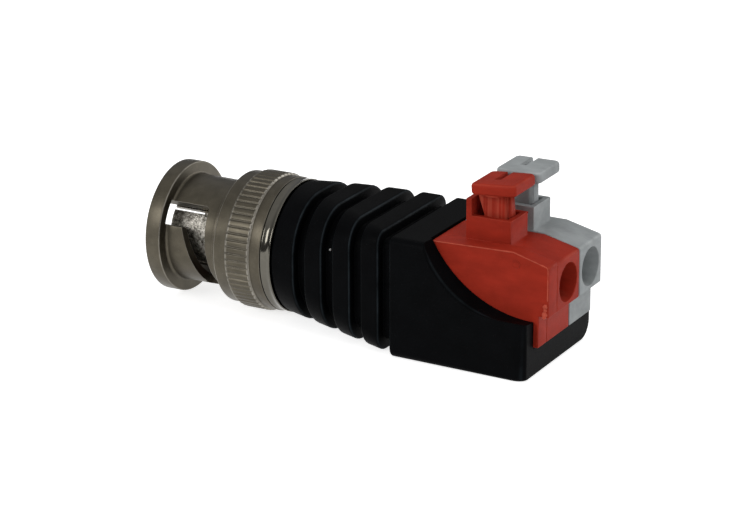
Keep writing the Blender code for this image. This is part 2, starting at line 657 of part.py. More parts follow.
def housing_sections():
    """Sections along the housing: ribs with rounded edges, grooves between them, then the block."""
    sections = [boot_section(BOOT_X, RIB_ROUND), boot_section(BOOT_X + RIB_ROUND)]
    for index in range(GROOVE_COUNT):
        middle = BOOT_X + GROOVE_FIRST + GROOVE_PITCH * index
        start = middle - GROOVE_WIDTH / 2
        end = middle + GROOVE_WIDTH / 2
        sections += [
            boot_section(start - RIB_ROUND),
            boot_section(start - RIB_ROUND / 3, RIB_ROUND / 3),
            boot_section(start, RIB_ROUND),
            boot_section(start + TINY, GROOVE_DEPTH),
            boot_section(end - TINY, GROOVE_DEPTH),
        ]
        if index < GROOVE_COUNT - 1:
            sections += [boot_section(end, RIB_ROUND), boot_section(end + RIB_ROUND)]
    front = BOOT_X + GROOVE_FIRST + GROOVE_PITCH * (GROOVE_COUNT - 1) + GROOVE_WIDTH / 2
    sections += [block_section(front, RIB_ROUND, RIB_ROUND), block_section(front + RIB_ROUND)]
    for angle in (0.0, 30.0, 60.0, 90.0):
        back = END_ROUND * (1 - math.sin(math.radians(angle)))
        turn = 1 - math.cos(math.radians(angle))
        sections.append(block_section(BLOCK_END_X - back, END_ROUND * turn, END_BOTTOM_ROUND * turn))
    return sections


def scoop_curve(radius, short, below_axis, steps=14):
    """Concave edge of a side wall, from above the block's top down to its low end."""
    top = BLOCK_TOP_Z + OVERCUT
    center = (BLOCK_END_X - short, AXIS_Z - below_axis + radius)
    start = 180.0 + math.degrees(math.asin((center[1] - top) / radius))
    return arc(center, radius, start, 270.0, steps) + [(BLOCK_END_X + OVERCUT, center[1] - radius)]


def scoop_cutter():
    """Space above the side walls, whose top edges slope down from the cavity to a soft outer edge."""
    inner = scoop_curve(SCOOP_RADIUS, 0.0, SCOOP_LIP_BELOW_AXIS)
    outer = scoop_curve(SCOOP_OUTER_RADIUS, SCOOP_OUTER_SHORT, SCOOP_OUTER_BELOW_AXIS)
    sides = ((BLOCK_HALF_WIDTH + OVERCUT, 3.0), (BLOCK_HALF_WIDTH, 1.3),
             (BLOCK_HALF_WIDTH - SCOOP_ROUND / 2, 1.0), (BLOCK_HALF_WIDTH - SCOOP_ROUND, 0.75),
             (BLOCK_HALF_WIDTH - NEAR_WALL, 0.0))
    sections = []
    for y, share in [(-y, share) for y, share in sides] + list(sides[::-1]):
        curve = [(a[0] + (b[0] - a[0]) * share, a[1] + (b[1] - a[1]) * share) for a, b in zip(inner, outer)]
        outline = curve + [(BLOCK_END_X + OVERCUT, BLOCK_TOP_Z + OVERCUT)]
        sections.append([(x, y, z) for x, z in outline])
    return lofted_solid("scoop_guide", sections)


def build_housing(black):
    housing = lofted_solid("housing", housing_sections(), black)
    cavity_x = BLOCK_X + CAVITY_START
    combine(housing, block("cavity_guide", (cavity_x, CAVITY_NEAR_Y, CAVITY_FLOOR),
                           (NOSE_X + OVERCUT, CAVITY_FAR_Y, BLOCK_TOP_Z + OVERCUT)))
    combine(housing, scoop_cutter())
    bore = BARREL_RADIUS + SEAT_GAP
    combine(housing, turned_solid("barrel_bore_guide",
                                  [(BOOT_X - OVERCUT, 0.0), (BOOT_X - OVERCUT, bore),
                                   (BARREL_END_X + SEAT_GAP, bore), (BARREL_END_X + SEAT_GAP, 0.0)], 48))
    near = min(RED_Y - TAIL_WIDTH / 2, -BARREL_RADIUS) - WIRE_ROOM_CLEARANCE
    far = max(GREY_Y + TAIL_WIDTH / 2, BARREL_RADIUS) + WIRE_ROOM_CLEARANCE
    combine(housing, block("wire_room_guide", (BARREL_END_X, near, AXIS_Z - WIRE_ROOM_BELOW_AXIS),
                           (cavity_x + OVERCUT, far, AXIS_Z + WIRE_ROOM_ABOVE_AXIS)))
    return housing


def module_outline(lip=0.0):
    """Side outline of a terminal module, from its rear bottom corner; a lip raises the sloped top."""
    crest = (NOSE_X - NOSE_SLOPE_LENGTH, MODULE_TOP_Z + lip)
    corner = (NOSE_X, MODULE_TOP_Z - NOSE_DROP + lip / 2)
    slope = Vector((corner[0] - crest[0], corner[1] - crest[1])).normalized()
    before = (corner[0] - slope.x * MODULE_NOSE_ROUND, corner[1] - slope.y * MODULE_NOSE_ROUND)
    after = (corner[0], corner[1] - MODULE_NOSE_ROUND)
    middle = ((before[0] + after[0] + 2 * corner[0]) / 4, (before[1] + after[1] + 2 * corner[1]) / 4)
    return [
        (MODULE_REAR_X, MODULE_BOTTOM_Z),
        (TERMINAL_FACE_X, MODULE_BOTTOM_Z),
        (TERMINAL_FACE_X, NOSE_BOTTOM_Z),
        (NOSE_X, NOSE_BOTTOM_Z),
        after,
        middle,
        before,
        crest,
        (MODULE_REAR_X, MODULE_TOP_Z),
    ]


def entry_cutter(name, y):
    """Wire entry: straight at the nose, then a funnel down to the clamp."""
    sections = []
    for x, z, radius in ((NOSE_X + OVERCUT, ENTRY_Z, ENTRY_RADIUS),
                         (NOSE_X, ENTRY_Z, ENTRY_RADIUS),
                         (NOSE_X - ENTRY_STRAIGHT, ENTRY_Z, ENTRY_RADIUS - EDGE_BREAK),
                         (POCKET_END_X - SEAT_GAP, ENTRY_INNER_Z, ENTRY_INNER_RADIUS)):
        sections.append([(x, y + py, z + pz) for py, pz in arc((0.0, 0.0), radius, 0.0, 345.0, 23)])
    return lofted_solid(name, sections)


def guide_outline():
    """Side outline of the button guide, with its tall back wall."""
    low = MODULE_TOP_Z - MODULE_ROOF / 2
    return [(GUIDE_X, low), (GUIDE_END_X, low), (GUIDE_END_X, GUIDE_TOP_Z), (CHANNEL_X, GUIDE_TOP_Z),
            (CHANNEL_X, GUIDE_BACK_TOP_Z), (GUIDE_X, GUIDE_BACK_TOP_Z)]


def build_terminal_shell(color_name, y, plastic):
    """Module body: pocket open towards the near side, wire entry, roof guide and slots for the contact."""
    near = y - MODULE_WIDTH / 2
    far = y + MODULE_WIDTH / 2
    button_y = y - GUIDE_OFFSET
    near_edge = MODULE_EDGE if y > RED_Y else 0.0
    shell = plate(color_name + "_terminal_shell", module_outline(), near, far, plastic, near_edge,
                  MODULE_EDGE)
    guide = plate(color_name + "_guide_guide", guide_outline(), button_y - GUIDE_WIDTH / 2,
                  button_y + GUIDE_WIDTH / 2)
    combine(shell, guide, 'UNION')
    combine(shell, block(color_name + "_pocket_guide", (POCKET_X, near - OVERCUT, POCKET_LOW_Z),
                         (POCKET_END_X, far - MODULE_SIDE_WALL, POCKET_HIGH_Z)))
    combine(shell, block(color_name + "_channel_guide",
                         (CHANNEL_X, button_y - CHANNEL_WIDTH / 2, POCKET_HIGH_Z - OVERCUT),
                         (CHANNEL_END_X, button_y + CHANNEL_WIDTH / 2, GUIDE_BACK_TOP_Z + OVERCUT)))
    combine(shell, entry_cutter(color_name + "_entry_guide", y))
    slot_low = BAR_Z - SEAT_GAP
    slot_high = BAR_Z + BAR_THICKNESS + SEAT_GAP
    combine(shell, block(color_name + "_tail_slot_guide",
                         (MODULE_REAR_X - OVERCUT, y - TAIL_WIDTH / 2 - SEAT_GAP, slot_low),
                         (POCKET_X + TINY, y + TAIL_WIDTH / 2 + SEAT_GAP, slot_high)))
    combine(shell, block(color_name + "_bar_seat_guide",
                         (POCKET_END_X - TINY, y - BAR_WIDTH / 2 - SEAT_GAP, slot_low),
                         (POCKET_END_X + BAR_SEAT_DEPTH + SEAT_GAP, y + BAR_WIDTH / 2 + SEAT_GAP,
                          slot_high)))
    return shell


def build_side_cover(plastic):
    return plate("red_side_cover", module_outline(COVER_LIP), COVER_NEAR_Y, COVER_NEAR_Y + COVER_THICKNESS,
                 plastic, near_edge=MODULE_EDGE)


def lean_about_guide(points, lean_deg):
    """Turn the points above the guide's rim back by the lean, about the stem's front edge."""
    angle = math.radians(lean_deg)
    turned = []
    for x, z in points:
        dx, dz = x - STEM_END_X, z - GUIDE_TOP_Z
        if dz > 0.0:
            x = STEM_END_X + dx * math.cos(angle) - dz * math.sin(angle)
            z = GUIDE_TOP_Z + dx * math.sin(angle) + dz * math.cos(angle)
        turned.append((x, z))
    return turned


def build_button(color_name, module_y, plastic, lean_deg):
    """Push button: notched cap, tapered stem with a front rib, and a foot that keeps it in the module."""
    y = module_y - GUIDE_OFFSET
    inside = CAP_Z + CAP_THICKNESS / 2
    back = STEM_END_X - STEM_RIB_DEPTH
    stem = [(STEM_X + STEM_TAPER, FOOT_Z), (back, FOOT_Z), (back, GUIDE_TOP_Z), (back, inside),
            (STEM_X - STEM_TOP_EXTRA, inside), (STEM_X + STEM_TAPER, GUIDE_TOP_Z + EDGE_BREAK)]
    button = plate(color_name + "_button", lean_about_guide(stem, lean_deg), y - STEM_WIDTH / 2,
                   y + STEM_WIDTH / 2, plastic)
    rib = [(back - EDGE_BREAK, FOOT_Z + TINY), (STEM_END_X, FOOT_Z + TINY), (STEM_END_X, GUIDE_TOP_Z),
           (STEM_END_X, inside + TINY), (back - EDGE_BREAK, inside + TINY)]
    rib = plate(color_name + "_stem_rib_guide", lean_about_guide(rib, lean_deg), y - STEM_RIB_WIDTH / 2,
                y + STEM_RIB_WIDTH / 2)
    foot = block(color_name + "_foot_guide",
                 (CHANNEL_X - FOOT_OVERHANG, y - STEM_WIDTH / 2 - TINY, FOOT_Z - TINY),
                 (CHANNEL_END_X + FOOT_OVERHANG, y + STEM_WIDTH / 2 + TINY, FOOT_TOP_Z))
    cap = block(color_name + "_cap_guide", (CAP_X, y - CAP_WIDTH / 2, CAP_Z),
                (CAP_X + CAP_LENGTH, y + CAP_WIDTH / 2, CAP_Z + CAP_THICKNESS), edge=CAP_EDGE)
    low = CAP_X + CAP_LENGTH / 2 - CAP_EDGE - CAP_NOTCH_WIDTH / 2
    end = y + CAP_WIDTH / 2 - CAP_NOTCH_DEPTH
    notch = block(color_name + "_notch_guide", (low, end, CAP_Z + CAP_THICKNESS / 2),
                  (low + CAP_NOTCH_WIDTH, y + CAP_WIDTH / 2 + OVERCUT, CAP_Z + CAP_THICKNESS + OVERCUT))
    opening = block(color_name + "_notch_through_guide",
                    (low, y + STEM_WIDTH / 2 + EDGE_BREAK, CAP_Z - OVERCUT / 2),
                    (low + CAP_NOTCH_WIDTH, y + CAP_WIDTH / 2 + OVERCUT, CAP_Z + CAP_THICKNESS + OVERCUT))
    pivot = Matrix.Translation((STEM_END_X, 0.0, GUIDE_TOP_Z))
    lean = pivot @ Matrix.Rotation(-math.radians(lean_deg), 4, 'Y') @ pivot.inverted()
    for piece in (cap, notch, opening):
        piece.data.transform(lean)
    for piece in (rib, foot, cap):
        combine(button, piece, 'UNION')
    for piece in (notch, opening):
        combine(button, piece)
    return button


def spring_center_line():
    """Centre line of the clamp spring, from its resting leg round to the hooked clamp leg."""
    half = SPRING_THICKNESS / 2
    low = SPRING_LOW_Z + half
    high = SPRING_TOP_Z - half
    rear = POCKET_X + 2 * RUNNING_GAP + half
    front = SPRING_END_X - half
    bend = SPRING_BEND_RADIUS
    tight = 2 * SPRING_THICKNESS
    line = [(front - bend, low)]
    line += arc((rear + bend, low + bend), bend, 270.0, 180.0, 5)
    line += arc((rear + bend, high - bend), bend, 180.0, 90.0, 5)
    line += arc((front - tight, high - tight), tight, 90.0, 0.0, 3)
    line.append((front, BAR_Z - SPRING_WINDOW_BELOW_BAR - SPRING_HOOK_LENGTH))
    return line


def offset_line(line, distance):
    """The same line moved sideways by a distance, mitred at its corners."""
    moved = []
    for index, point in enumerate(line):
        before = Vector(line[max(index - 1, 0)])
        after = Vector(line[min(index + 1, len(line) - 1)])
        here = Vector(point)
        normals = []
        for start, end in ((before, here), (here, after)):
            step = end - start
            if step.length > 0.0:
                step.normalize()
                normals.append(Vector((-step.y, step.x)))
        normal = sum(normals, Vector((0.0, 0.0)))
        normal.normalize()
        stretch = 1.0 / max(normal.dot(normals[0]), 0.5)
        moved.append(tuple(here + normal * distance * stretch))
    return moved


def build_clamp_spring(color_name, y, steel):
    """Bent strip: resting leg, rear bend with a slot, pressed arm and a windowed clamp leg."""
    line = spring_center_line()
    half = SPRING_THICKNESS / 2
    outline = offset_line(line, half) + offset_line(line, -half)[::-1]
    spring = plate(color_name + "_clamp_spring", outline, y - SPRING_WIDTH / 2, y + SPRING_WIDTH / 2, steel)
    low = BAR_Z - SPRING_WINDOW_BELOW_BAR
    high = BAR_Z + BAR_THICKNESS + SPRING_WINDOW_ABOVE_BAR
    middle_x = (POCKET_X + SPRING_END_X) / 2
    combine(spring, block(color_name + "_window_guide", (middle_x, y - SPRING_WINDOW_WIDTH / 2, low),
                          (POCKET_END_X + OVERCUT, y + SPRING_WINDOW_WIDTH / 2, high)))
    combine(spring, block(color_name + "_bend_slot_guide",
                          (POCKET_X - OVERCUT, y - TAIL_WIDTH / 2 - 2 * SEAT_GAP, low),
                          (middle_x, y + TAIL_WIDTH / 2 + 2 * SEAT_GAP, high)))
    return spring


def build_contact(color_name, y, brass):
    """Current bar seated in the front wall, with a narrow solder tail out of the rear wall."""
    neck_x = POCKET_X + 2 * SPRING_BEND_RADIUS
    front_x = POCKET_END_X + BAR_SEAT_DEPTH
    wide = BAR_WIDTH / 2
    narrow = TAIL_WIDTH / 2
    outline = [(TAIL_X, -narrow), (neck_x, -narrow), (neck_x + EDGE_BREAK, -wide), (front_x, -wide),
               (front_x, wide), (neck_x + EDGE_BREAK, wide), (neck_x, narrow), (TAIL_X, narrow)]
    sections = [[(x, y + py, z) for x, py in outline] for z in (BAR_Z, BAR_Z + BAR_THICKNESS)]
    return lofted_solid(color_name + "_contact", sections, brass)


def smooth_route(points, step):
    """Evenly spaced points on a Catmull-Rom curve through the route's own points."""
    route = [Vector(p) for p in points]
    route = [2 * route[0] - route[1]] + route + [2 * route[-1] - route[-2]]
    fine = []
    for a, b, c, d in zip(route, route[1:], route[2:], route[3:]):
        for i in range(12):
            t = i / 12
            fine.append(0.5 * (2 * b + (c - a) * t + (2 * a - 5 * b + 4 * c - d) * t * t
                               + (3 * b - a - 3 * c + d) * t ** 3))
    fine.append(route[-2])
    length = sum((q - p).length for p, q in zip(fine, fine[1:]))
    count = max(3, round(length / step))
    spaced = [fine[0]]
    walked = 0.0
    for p, q in zip(fine, fine[1:]):
        walked += (q - p).length
        if walked >= length * len(spaced) / count - TINY and len(spaced) < count:
            spaced.append(q)
    spaced.append(fine[-1])
    return spaced


def build_wire(name, points, material):
    curve = bpy.data.curves.new(name, 'CURVE')
    curve.dimensions = '3D'
    curve.bevel_depth = WIRE_RADIUS
    curve.bevel_resolution = 2
    curve.use_fill_caps = True
    route = smooth_route(points, WIRE_STEP)
    spline = curve.splines.new('POLY')
    spline.points.add(len(route) - 1)
    for target, point in zip(spline.points, route):
        target.co = (*point, 1.0)
    curve.materials.append(material)
    item = bpy.data.objects.new(name, curve)
    bpy.context.collection.objects.link(item)
    return item


def build_wires(red, black):
    """Two short wires from the plug to the solder tails of the contacts."""
    start_x = PIN_END_X + SEAT_GAP
    end_x = TAIL_X - SEAT_GAP
    reach = end_x - start_x
    build_wire("signal_wire", [(start_x, 0.0, AXIS_Z), (start_x + reach * 0.3, 0.0, AXIS_Z),
                               (start_x + reach * 0.75, RED_Y, TAIL_Z), (end_x, RED_Y, TAIL_Z)], red)
    start_x = BARREL_END_X + SEAT_GAP
    reach = end_x - start_x
    ring_y = (BARREL_RADIUS + BARREL_BORE_RADIUS) / 2
    build_wire("ground_wire", [(start_x, ring_y, AXIS_Z), (start_x + reach * 0.3, ring_y, AXIS_Z),
                               (start_x + reach * 0.8, GREY_Y, TAIL_Z), (end_x, GREY_Y, TAIL_Z)], black)


def build_model():
    clear_scene()
    nickel = make_material("nickel_plate", (0.42, 0.40, 0.36), 0.32, 1.0)
    polished = make_material("nickel_polished", (0.52, 0.50, 0.45), 0.15, 1.0)
    gold = make_material("gold_plate", (0.80, 0.60, 0.25), 0.25, 1.0)
    steel = make_material("spring_steel", (0.55, 0.55, 0.56), 0.3, 1.0)
    brass = make_material("tinned_brass", (0.62, 0.60, 0.55), 0.35, 1.0)
    polymer = make_material("white_insulator", (0.85, 0.84, 0.80), 0.5)
    rubber = make_material("silicone", (0.55, 0.12, 0.06), 0.7)
    black = make_material("black_plastic", (0.008, 0.009, 0.010), 0.42)
    red = make_material("red_plastic", (0.32, 0.028, 0.018), 0.45)
    grey = make_material("grey_plastic", (0.30, 0.32, 0.32), 0.5)
    black_wire = make_material("black_wire", (0.01, 0.01, 0.01), 0.5)
    red_wire = make_material("red_wire", (0.40, 0.02, 0.02), 0.5)

    build_coupling(nickel)
    build_plug_body(nickel)
    build_insulator(polymer)
    build_centre_pin(gold)
    build_gasket(rubber)
    build_wave_washer(steel)
    build_ring("thrust_washer", THRUST_X, WASHER_THICKNESS, WASHER_BORE_RADIUS, WASHER_RADIUS, 36, brass)
    build_retaining_ring(steel)
    build_rear_collar(polished)
    build_housing(black)
    build_side_cover(red)
    for color_name, y, plastic, lean_deg in (("red", RED_Y, red, RED_LEAN_DEG),
                                             ("grey", GREY_Y, grey, GREY_LEAN_DEG)):
        build_terminal_shell(color_name, y, plastic)
        build_button(color_name, y, plastic, lean_deg)
        build_clamp_spring(color_name, y, steel)
        build_contact(color_name, y, brass)
    build_wires(red_wire, black_wire)


build_model()
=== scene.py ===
"""Bayonet plug adapter with push terminals: finishes, moulded marks, stage, light and camera."""

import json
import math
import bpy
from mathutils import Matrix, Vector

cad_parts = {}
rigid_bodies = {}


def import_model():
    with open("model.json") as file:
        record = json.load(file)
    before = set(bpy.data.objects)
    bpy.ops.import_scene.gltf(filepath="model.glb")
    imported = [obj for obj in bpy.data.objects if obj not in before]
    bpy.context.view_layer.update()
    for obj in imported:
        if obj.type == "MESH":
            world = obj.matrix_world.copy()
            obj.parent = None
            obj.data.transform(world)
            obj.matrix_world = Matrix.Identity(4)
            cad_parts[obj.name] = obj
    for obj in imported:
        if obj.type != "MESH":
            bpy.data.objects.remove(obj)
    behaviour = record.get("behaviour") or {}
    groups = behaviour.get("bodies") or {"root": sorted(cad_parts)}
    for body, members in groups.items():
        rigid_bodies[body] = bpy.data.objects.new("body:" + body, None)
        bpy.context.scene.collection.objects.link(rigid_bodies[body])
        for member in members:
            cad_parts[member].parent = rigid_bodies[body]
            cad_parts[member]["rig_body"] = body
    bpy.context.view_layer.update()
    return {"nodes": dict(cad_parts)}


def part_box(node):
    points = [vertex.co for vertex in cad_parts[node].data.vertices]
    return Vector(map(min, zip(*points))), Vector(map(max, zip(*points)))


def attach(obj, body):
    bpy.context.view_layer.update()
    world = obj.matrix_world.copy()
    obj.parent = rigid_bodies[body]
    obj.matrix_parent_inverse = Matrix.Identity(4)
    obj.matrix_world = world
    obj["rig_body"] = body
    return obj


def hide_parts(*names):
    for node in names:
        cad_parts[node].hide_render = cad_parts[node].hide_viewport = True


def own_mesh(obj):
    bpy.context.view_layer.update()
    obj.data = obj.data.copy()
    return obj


bl_info = {
    "name": "Push Terminal Adapter",
    "version": (1, 0, 0),
    "blender": (4, 5, 0),
    "location": "3D View > Sidebar > Adapter",
    "description": "Finishes and moulded details of a bayonet plug adapter with push terminals",
    "category": "Object",
}

import bmesh
import bpy
from bpy.props import FloatProperty, FloatVectorProperty, PointerProperty
from mathutils import Matrix, Vector, noise

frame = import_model()
NODES = frame["nodes"]
MM = 0.001
ROOT_BODY = "adapter"

SLEEVE_LOW, SLEEVE_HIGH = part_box("coupling_sleeve")
HOUSING_LOW, HOUSING_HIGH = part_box("housing")
COVER_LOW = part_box("red_side_cover")[0]
COLLAR_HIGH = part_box("rear_collar")[1]
GUIDE_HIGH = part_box("red_terminal_shell")[1]
BODY_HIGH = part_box("plug_body")[1]
GREY_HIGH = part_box("grey_terminal_shell")[1]
AXIS_Z = (SLEEVE_LOW.z + SLEEVE_HIGH.z) / 2


# Settings that a user would change

def color_setting(name, description, default):
    return FloatVectorProperty(name=name, description=description, default=default, subtype='COLOR',
                               size=3, min=0.0, max=1.0)


def share_setting(name, description, default):
    return FloatProperty(name=name, description=description, default=default, min=0.0, max=1.0,
                         subtype='FACTOR')


def length_setting(name, description, default):
    return FloatProperty(name=name, description=description, default=default, min=0.0,
                         subtype='DISTANCE', unit='LENGTH', precision=5)


class MetalSettings(bpy.types.PropertyGroup):
    nickel_color: color_setting("Nickel", "Plating of the coupling and the plug body",
                                (0.087, 0.077, 0.058))
    # The paler nickel is partly rubbed plating and partly a painted highlight along edges and
    # chamfers; it also lightens random grain.
    nickel_light: color_setting("Nickel, rubbed", "Plating where edges are rubbed bright",
                                (0.60, 0.57, 0.51))
    nickel_roughness: share_setting("Nickel roughness", "Blur of the satin plating", 0.40)
    collar_color: color_setting("Collar", "Polished ring behind the coupling",
                                (0.125, 0.118, 0.100))
    collar_roughness: share_setting("Collar roughness", "Blur of the polished ring", 0.09)
    steel_color: color_setting("Spring steel", "Springs and the retaining ring", (0.46, 0.46, 0.47))
    tin_color: color_setting("Tinned brass", "Current bars and the thrust washer",
                             (0.55, 0.53, 0.48))
    gold_color: color_setting("Gold", "Centre pin", (0.83, 0.60, 0.24))
    grain_size: length_setting("Blast grain", "Size of the grain of the satin plating", 0.09 * MM)
    # This width also sets how wide the painted edge highlight on the nickel is.
    edge_width: length_setting("Rubbed edge", "Width of the rubbed line along edges", 0.10 * MM)


class PlasticSettings(bpy.types.PropertyGroup):
    black_color: color_setting("Black", "Housing plastic", (0.0017, 0.0019, 0.0023))
    # The paler black paints highlight lines along the ribs' rear edges and the scoop's rim, partly
    # as rubbed plastic.
    black_rub_and_highlight: color_setting("Black, rubbed", "Housing plastic along moulded edges",
                              (0.024, 0.031, 0.036))
    black_roughness: share_setting("Black roughness", "Blur of the housing plastic", 0.46)
    red_color: color_setting("Red", "Red terminal, cover and button", (0.318, 0.025, 0.0125))
    # The pale tones are partly stress whitening and specks, and partly a painted highlight along
    # moulded edges.
    red_pale: color_setting("Red, stressed", "Red plastic where it is thin or rubbed",
                            (0.47, 0.080, 0.048))
    grey_color: color_setting("Grey", "Grey terminal and button", (0.320, 0.340, 0.345))
    grey_pale: color_setting("Grey, stressed", "Grey plastic where it is thin or rubbed",
                             (0.50, 0.52, 0.52))
    terminal_roughness: share_setting("Terminal roughness", "Blur of the terminal plastic", 0.47)
    insulator_color: color_setting("Insulator", "White plastic inside the plug", (0.80, 0.79, 0.75))
    gasket_color: color_setting("Gasket", "Soft sealing ring", (0.42, 0.07, 0.035))
    wire_red: color_setting("Red wire", "Sleeve of the signal wire", (0.35, 0.018, 0.016))
    wire_black: color_setting("Black wire", "Sleeve of the ground wire", (0.008, 0.008, 0.009))
    edge_round: length_setting("Edge round", "Rounding of moulded edges", 0.10 * MM)


class MarkSettings(bpy.types.PropertyGroup):
    knurl_depth: length_setting("Knurl depth", "Depth of the grooves of the grip", 0.13 * MM)
    knurl_turn: FloatProperty(name="Knurl turn", description="Angle of the first ridge in degrees",
                              default=1.7, min=0.0, max=6.0)
    burr_width: length_setting("Burr width", "Width of the moulding burr on the cover's edge",
                               0.20 * MM)
    gate_radius: length_setting("Gate stub", "Radius of the broken stub at the cover's corner",
                                0.25 * MM)
    ejector_radius: length_setting("Ejector mark", "Radius of the round mark on the cover",
                                   0.42 * MM)


class StageSettings(bpy.types.PropertyGroup):
    floor_width: length_setting("Floor", "Width of the floor", 6.0)
    floor_color: color_setting("Floor colour", "Colour of the floor", (0.82, 0.82, 0.82))
    floor_glow: share_setting("Floor glow", "How far the seen floor is lifted to white", 0.72)
    world_low: FloatProperty(name="World, low",
                             description="Level of the room's light near the horizon", default=0.14,
                             min=0.0, max=3.0)
    world_high: FloatProperty(name="World, high", description="Level of the room's light overhead",
                              default=0.72, min=0.0, max=3.0)
    key_power: FloatProperty(name="Side light",
                             description="Power of the soft light at the near side", default=5.2,
                             min=0.0, unit='POWER')
    end_power: FloatProperty(name="End light",
                             description="Power of the soft light at the terminal end", default=2.9,
                             min=0.0, unit='POWER')
    back_power: FloatProperty(name="Back light", description="Power of the low soft light behind",
                              default=2.6, min=0.0, unit='POWER')
    focal_length: FloatProperty(name="Focal length", description="Focal length of the camera in mm",
                                default=144.0, min=10.0, max=400.0)


# Node helpers

def scaled(color, share):
    return tuple(channel * share for channel in color)


class NodeTree:
    """Short calls for the nodes of a material or of the world."""

    def __init__(self, tree):
        self.tree = tree
        tree.nodes.clear()

    def node(self, kind, values=None, **settings):
        """A new node with these settings, and with values or links put on its inputs."""
        made = self.tree.nodes.new(kind)
        for key, value in settings.items():
            setattr(made, key, value)
        for key, value in (values or {}).items():
            self.put(made.inputs[key], value)
        return made

    def put(self, socket, value):
        """Link a socket or set it; a colour of three channels gets a full fourth one."""
        if isinstance(value, bpy.types.NodeSocket):
            self.tree.links.new(value, socket)
        elif isinstance(value, (int, float)):
            socket.default_value = value
        else:
            value = tuple(value)
            socket.default_value = value + (1.0,) * (len(socket.default_value) - len(value))

    def math(self, operation, a, b=0.0, clamp=False):
        made = self.node("ShaderNodeMath", {0: a, 1: b}, operation=operation, use_clamp=clamp)
        return made.outputs[0]

    def spread(self, value, low, high, to_low=0.0, to_high=1.0):
        made = self.node("ShaderNodeMapRange", {"Value": value, "From Min": low, "From Max": high,
                                                "To Min": to_low, "To Max": to_high})
        return made.outputs["Result"]


class Finish(NodeTree):
    """A material under construction, with short calls for what it is made of."""

    def __init__(self, name):
        self.material = bpy.data.materials.new(name)
        self.material.use_nodes = True
        super().__init__(self.material.node_tree)
        self.shader = self.node("ShaderNodeBsdfPrincipled")
        self.node("ShaderNodeOutputMaterial", {"Surface": self.shader.outputs["BSDF"]})
        self.place = self.node("ShaderNodeTexCoord").outputs["Object"]

    def stretched(self, scale):
        values = {"Vector": self.place, "Scale": scale}
        return self.node("ShaderNodeMapping", values).outputs["Vector"]

    def noise(self, size, detail=2.0, rough=0.5, place=None):
        """Soft noise whose lumps are about this size."""
        values = {"Vector": place or self.place, "Scale": 1.0 / size, "Detail": detail,
                  "Roughness": rough}
        return self.node("ShaderNodeTexNoise", values).outputs["Fac"]

    def mix(self, share, a, b):
        values = {"Factor": share, "A": a, "B": b}
        return self.node("ShaderNodeMix", values, data_type='RGBA').outputs["Result"]

    def patchy(self, field, low, color, dark, light=1.0):
        """A colour that wanders between a darker and a lighter share of itself."""
        return self.mix(self.spread(field, low, 1.0 - low), scaled(color, dark),
                        scaled(color, light))

    def blur(self, grain, middle, less, more, high=0.7):
        """A roughness that wanders round its middle value with the grain."""
        return self.spread(grain, 0.3, high, middle - less, middle + more)

    def rubbed(self):
        """How far the mesh says that the surface is rubbed, a value that also paints highlight
        lines along edges.
        """
        return self.node("ShaderNodeAttribute", attribute_name="rubbed").outputs["Fac"]

    def rounded_normal(self, width):
        return self.node("ShaderNodeBevel", {"Radius": width}, samples=6).outputs["Normal"]

    def edge_share(self, rounded):
        """1 along edges and 0 on open faces, from how far the rounded normal leans."""
        flat = self.node("ShaderNodeNewGeometry").outputs["Normal"]
        lean = self.node("ShaderNodeVectorMath", {0: rounded, 1: flat}, operation='DOT_PRODUCT')
        return self.spread(lean.outputs["Value"], 1.0, 0.80)

    def bumps(self, layers, normal=None):
        """Bump layers of (height, depth in metres, strength), each on top of the last."""
        for height, depth, strength in layers:
            values = {"Strength": strength, "Distance": depth, "Height": height}
            if normal is not None:
                values["Normal"] = normal
            normal = self.node("ShaderNodeBump", values).outputs["Normal"]
        self.put(self.shader.inputs["Normal"], normal)

    def surface(self, color, roughness, metallic=0.0, specular=None):
        values = {"Base Color": color, "Roughness": roughness, "Metallic": metallic}
        if specular is not None:
            values["Specular IOR Level"] = specular
        for name, value in values.items():
            self.put(self.shader.inputs[name], value)


def dress(material, *names):
    """Give CAD nodes this finish."""
    for name in names:
        item = NODES[name]
        item.data.materials.clear()
        item.data.materials.append(material)


# Finishes

HOUSING_GLOSS = 0.022
TERMINAL_GLOSS = 0.045
DUST_COLOR = (0.05, 0.05, 0.052)
DRAG_LINE_WIDTH = 0.42 * MM
DRAG_LINE_STRETCH = 0.012


def satin_nickel(metal):
    finish = Finish("satin_nickel")
    grain = finish.noise(metal.grain_size, 3.0, 0.7)
    patches = finish.noise(1.3 * MM, 3.0, 0.55)
    rings = finish.noise(0.10 * MM, 1.0, 0.5, finish.stretched((1.0, 0.03, 0.03)))
    rounded = finish.rounded_normal(metal.edge_width)
    tone = finish.patchy(patches, 0.35, metal.nickel_color, 0.90, 1.12)
    tone = finish.mix(finish.spread(grain, 0.62, 0.80, 0.0, 0.35), tone, metal.nickel_light)
    # Paler nickel along edges and at rubbed rows: partly rubbed plating, partly a painted highlight
    # along edges and chamfers.
    edges = finish.math('MULTIPLY', finish.edge_share(rounded), 0.30)
    worn_and_highlit = finish.math('MULTIPLY', finish.rubbed(), finish.spread(patches, 0.3, 0.6, 0.55, 1.0))
    tone = finish.mix(finish.math('MAXIMUM', edges, worn_and_highlit, clamp=True), tone, metal.nickel_light)
    finish.surface(tone, finish.blur(grain, metal.nickel_roughness, 0.07, 0.08), metallic=1.0)
    finish.bumps([(rings, 0.004 * MM, 0.35), (grain, 0.008 * MM, 0.55)], rounded)
    return finish.material


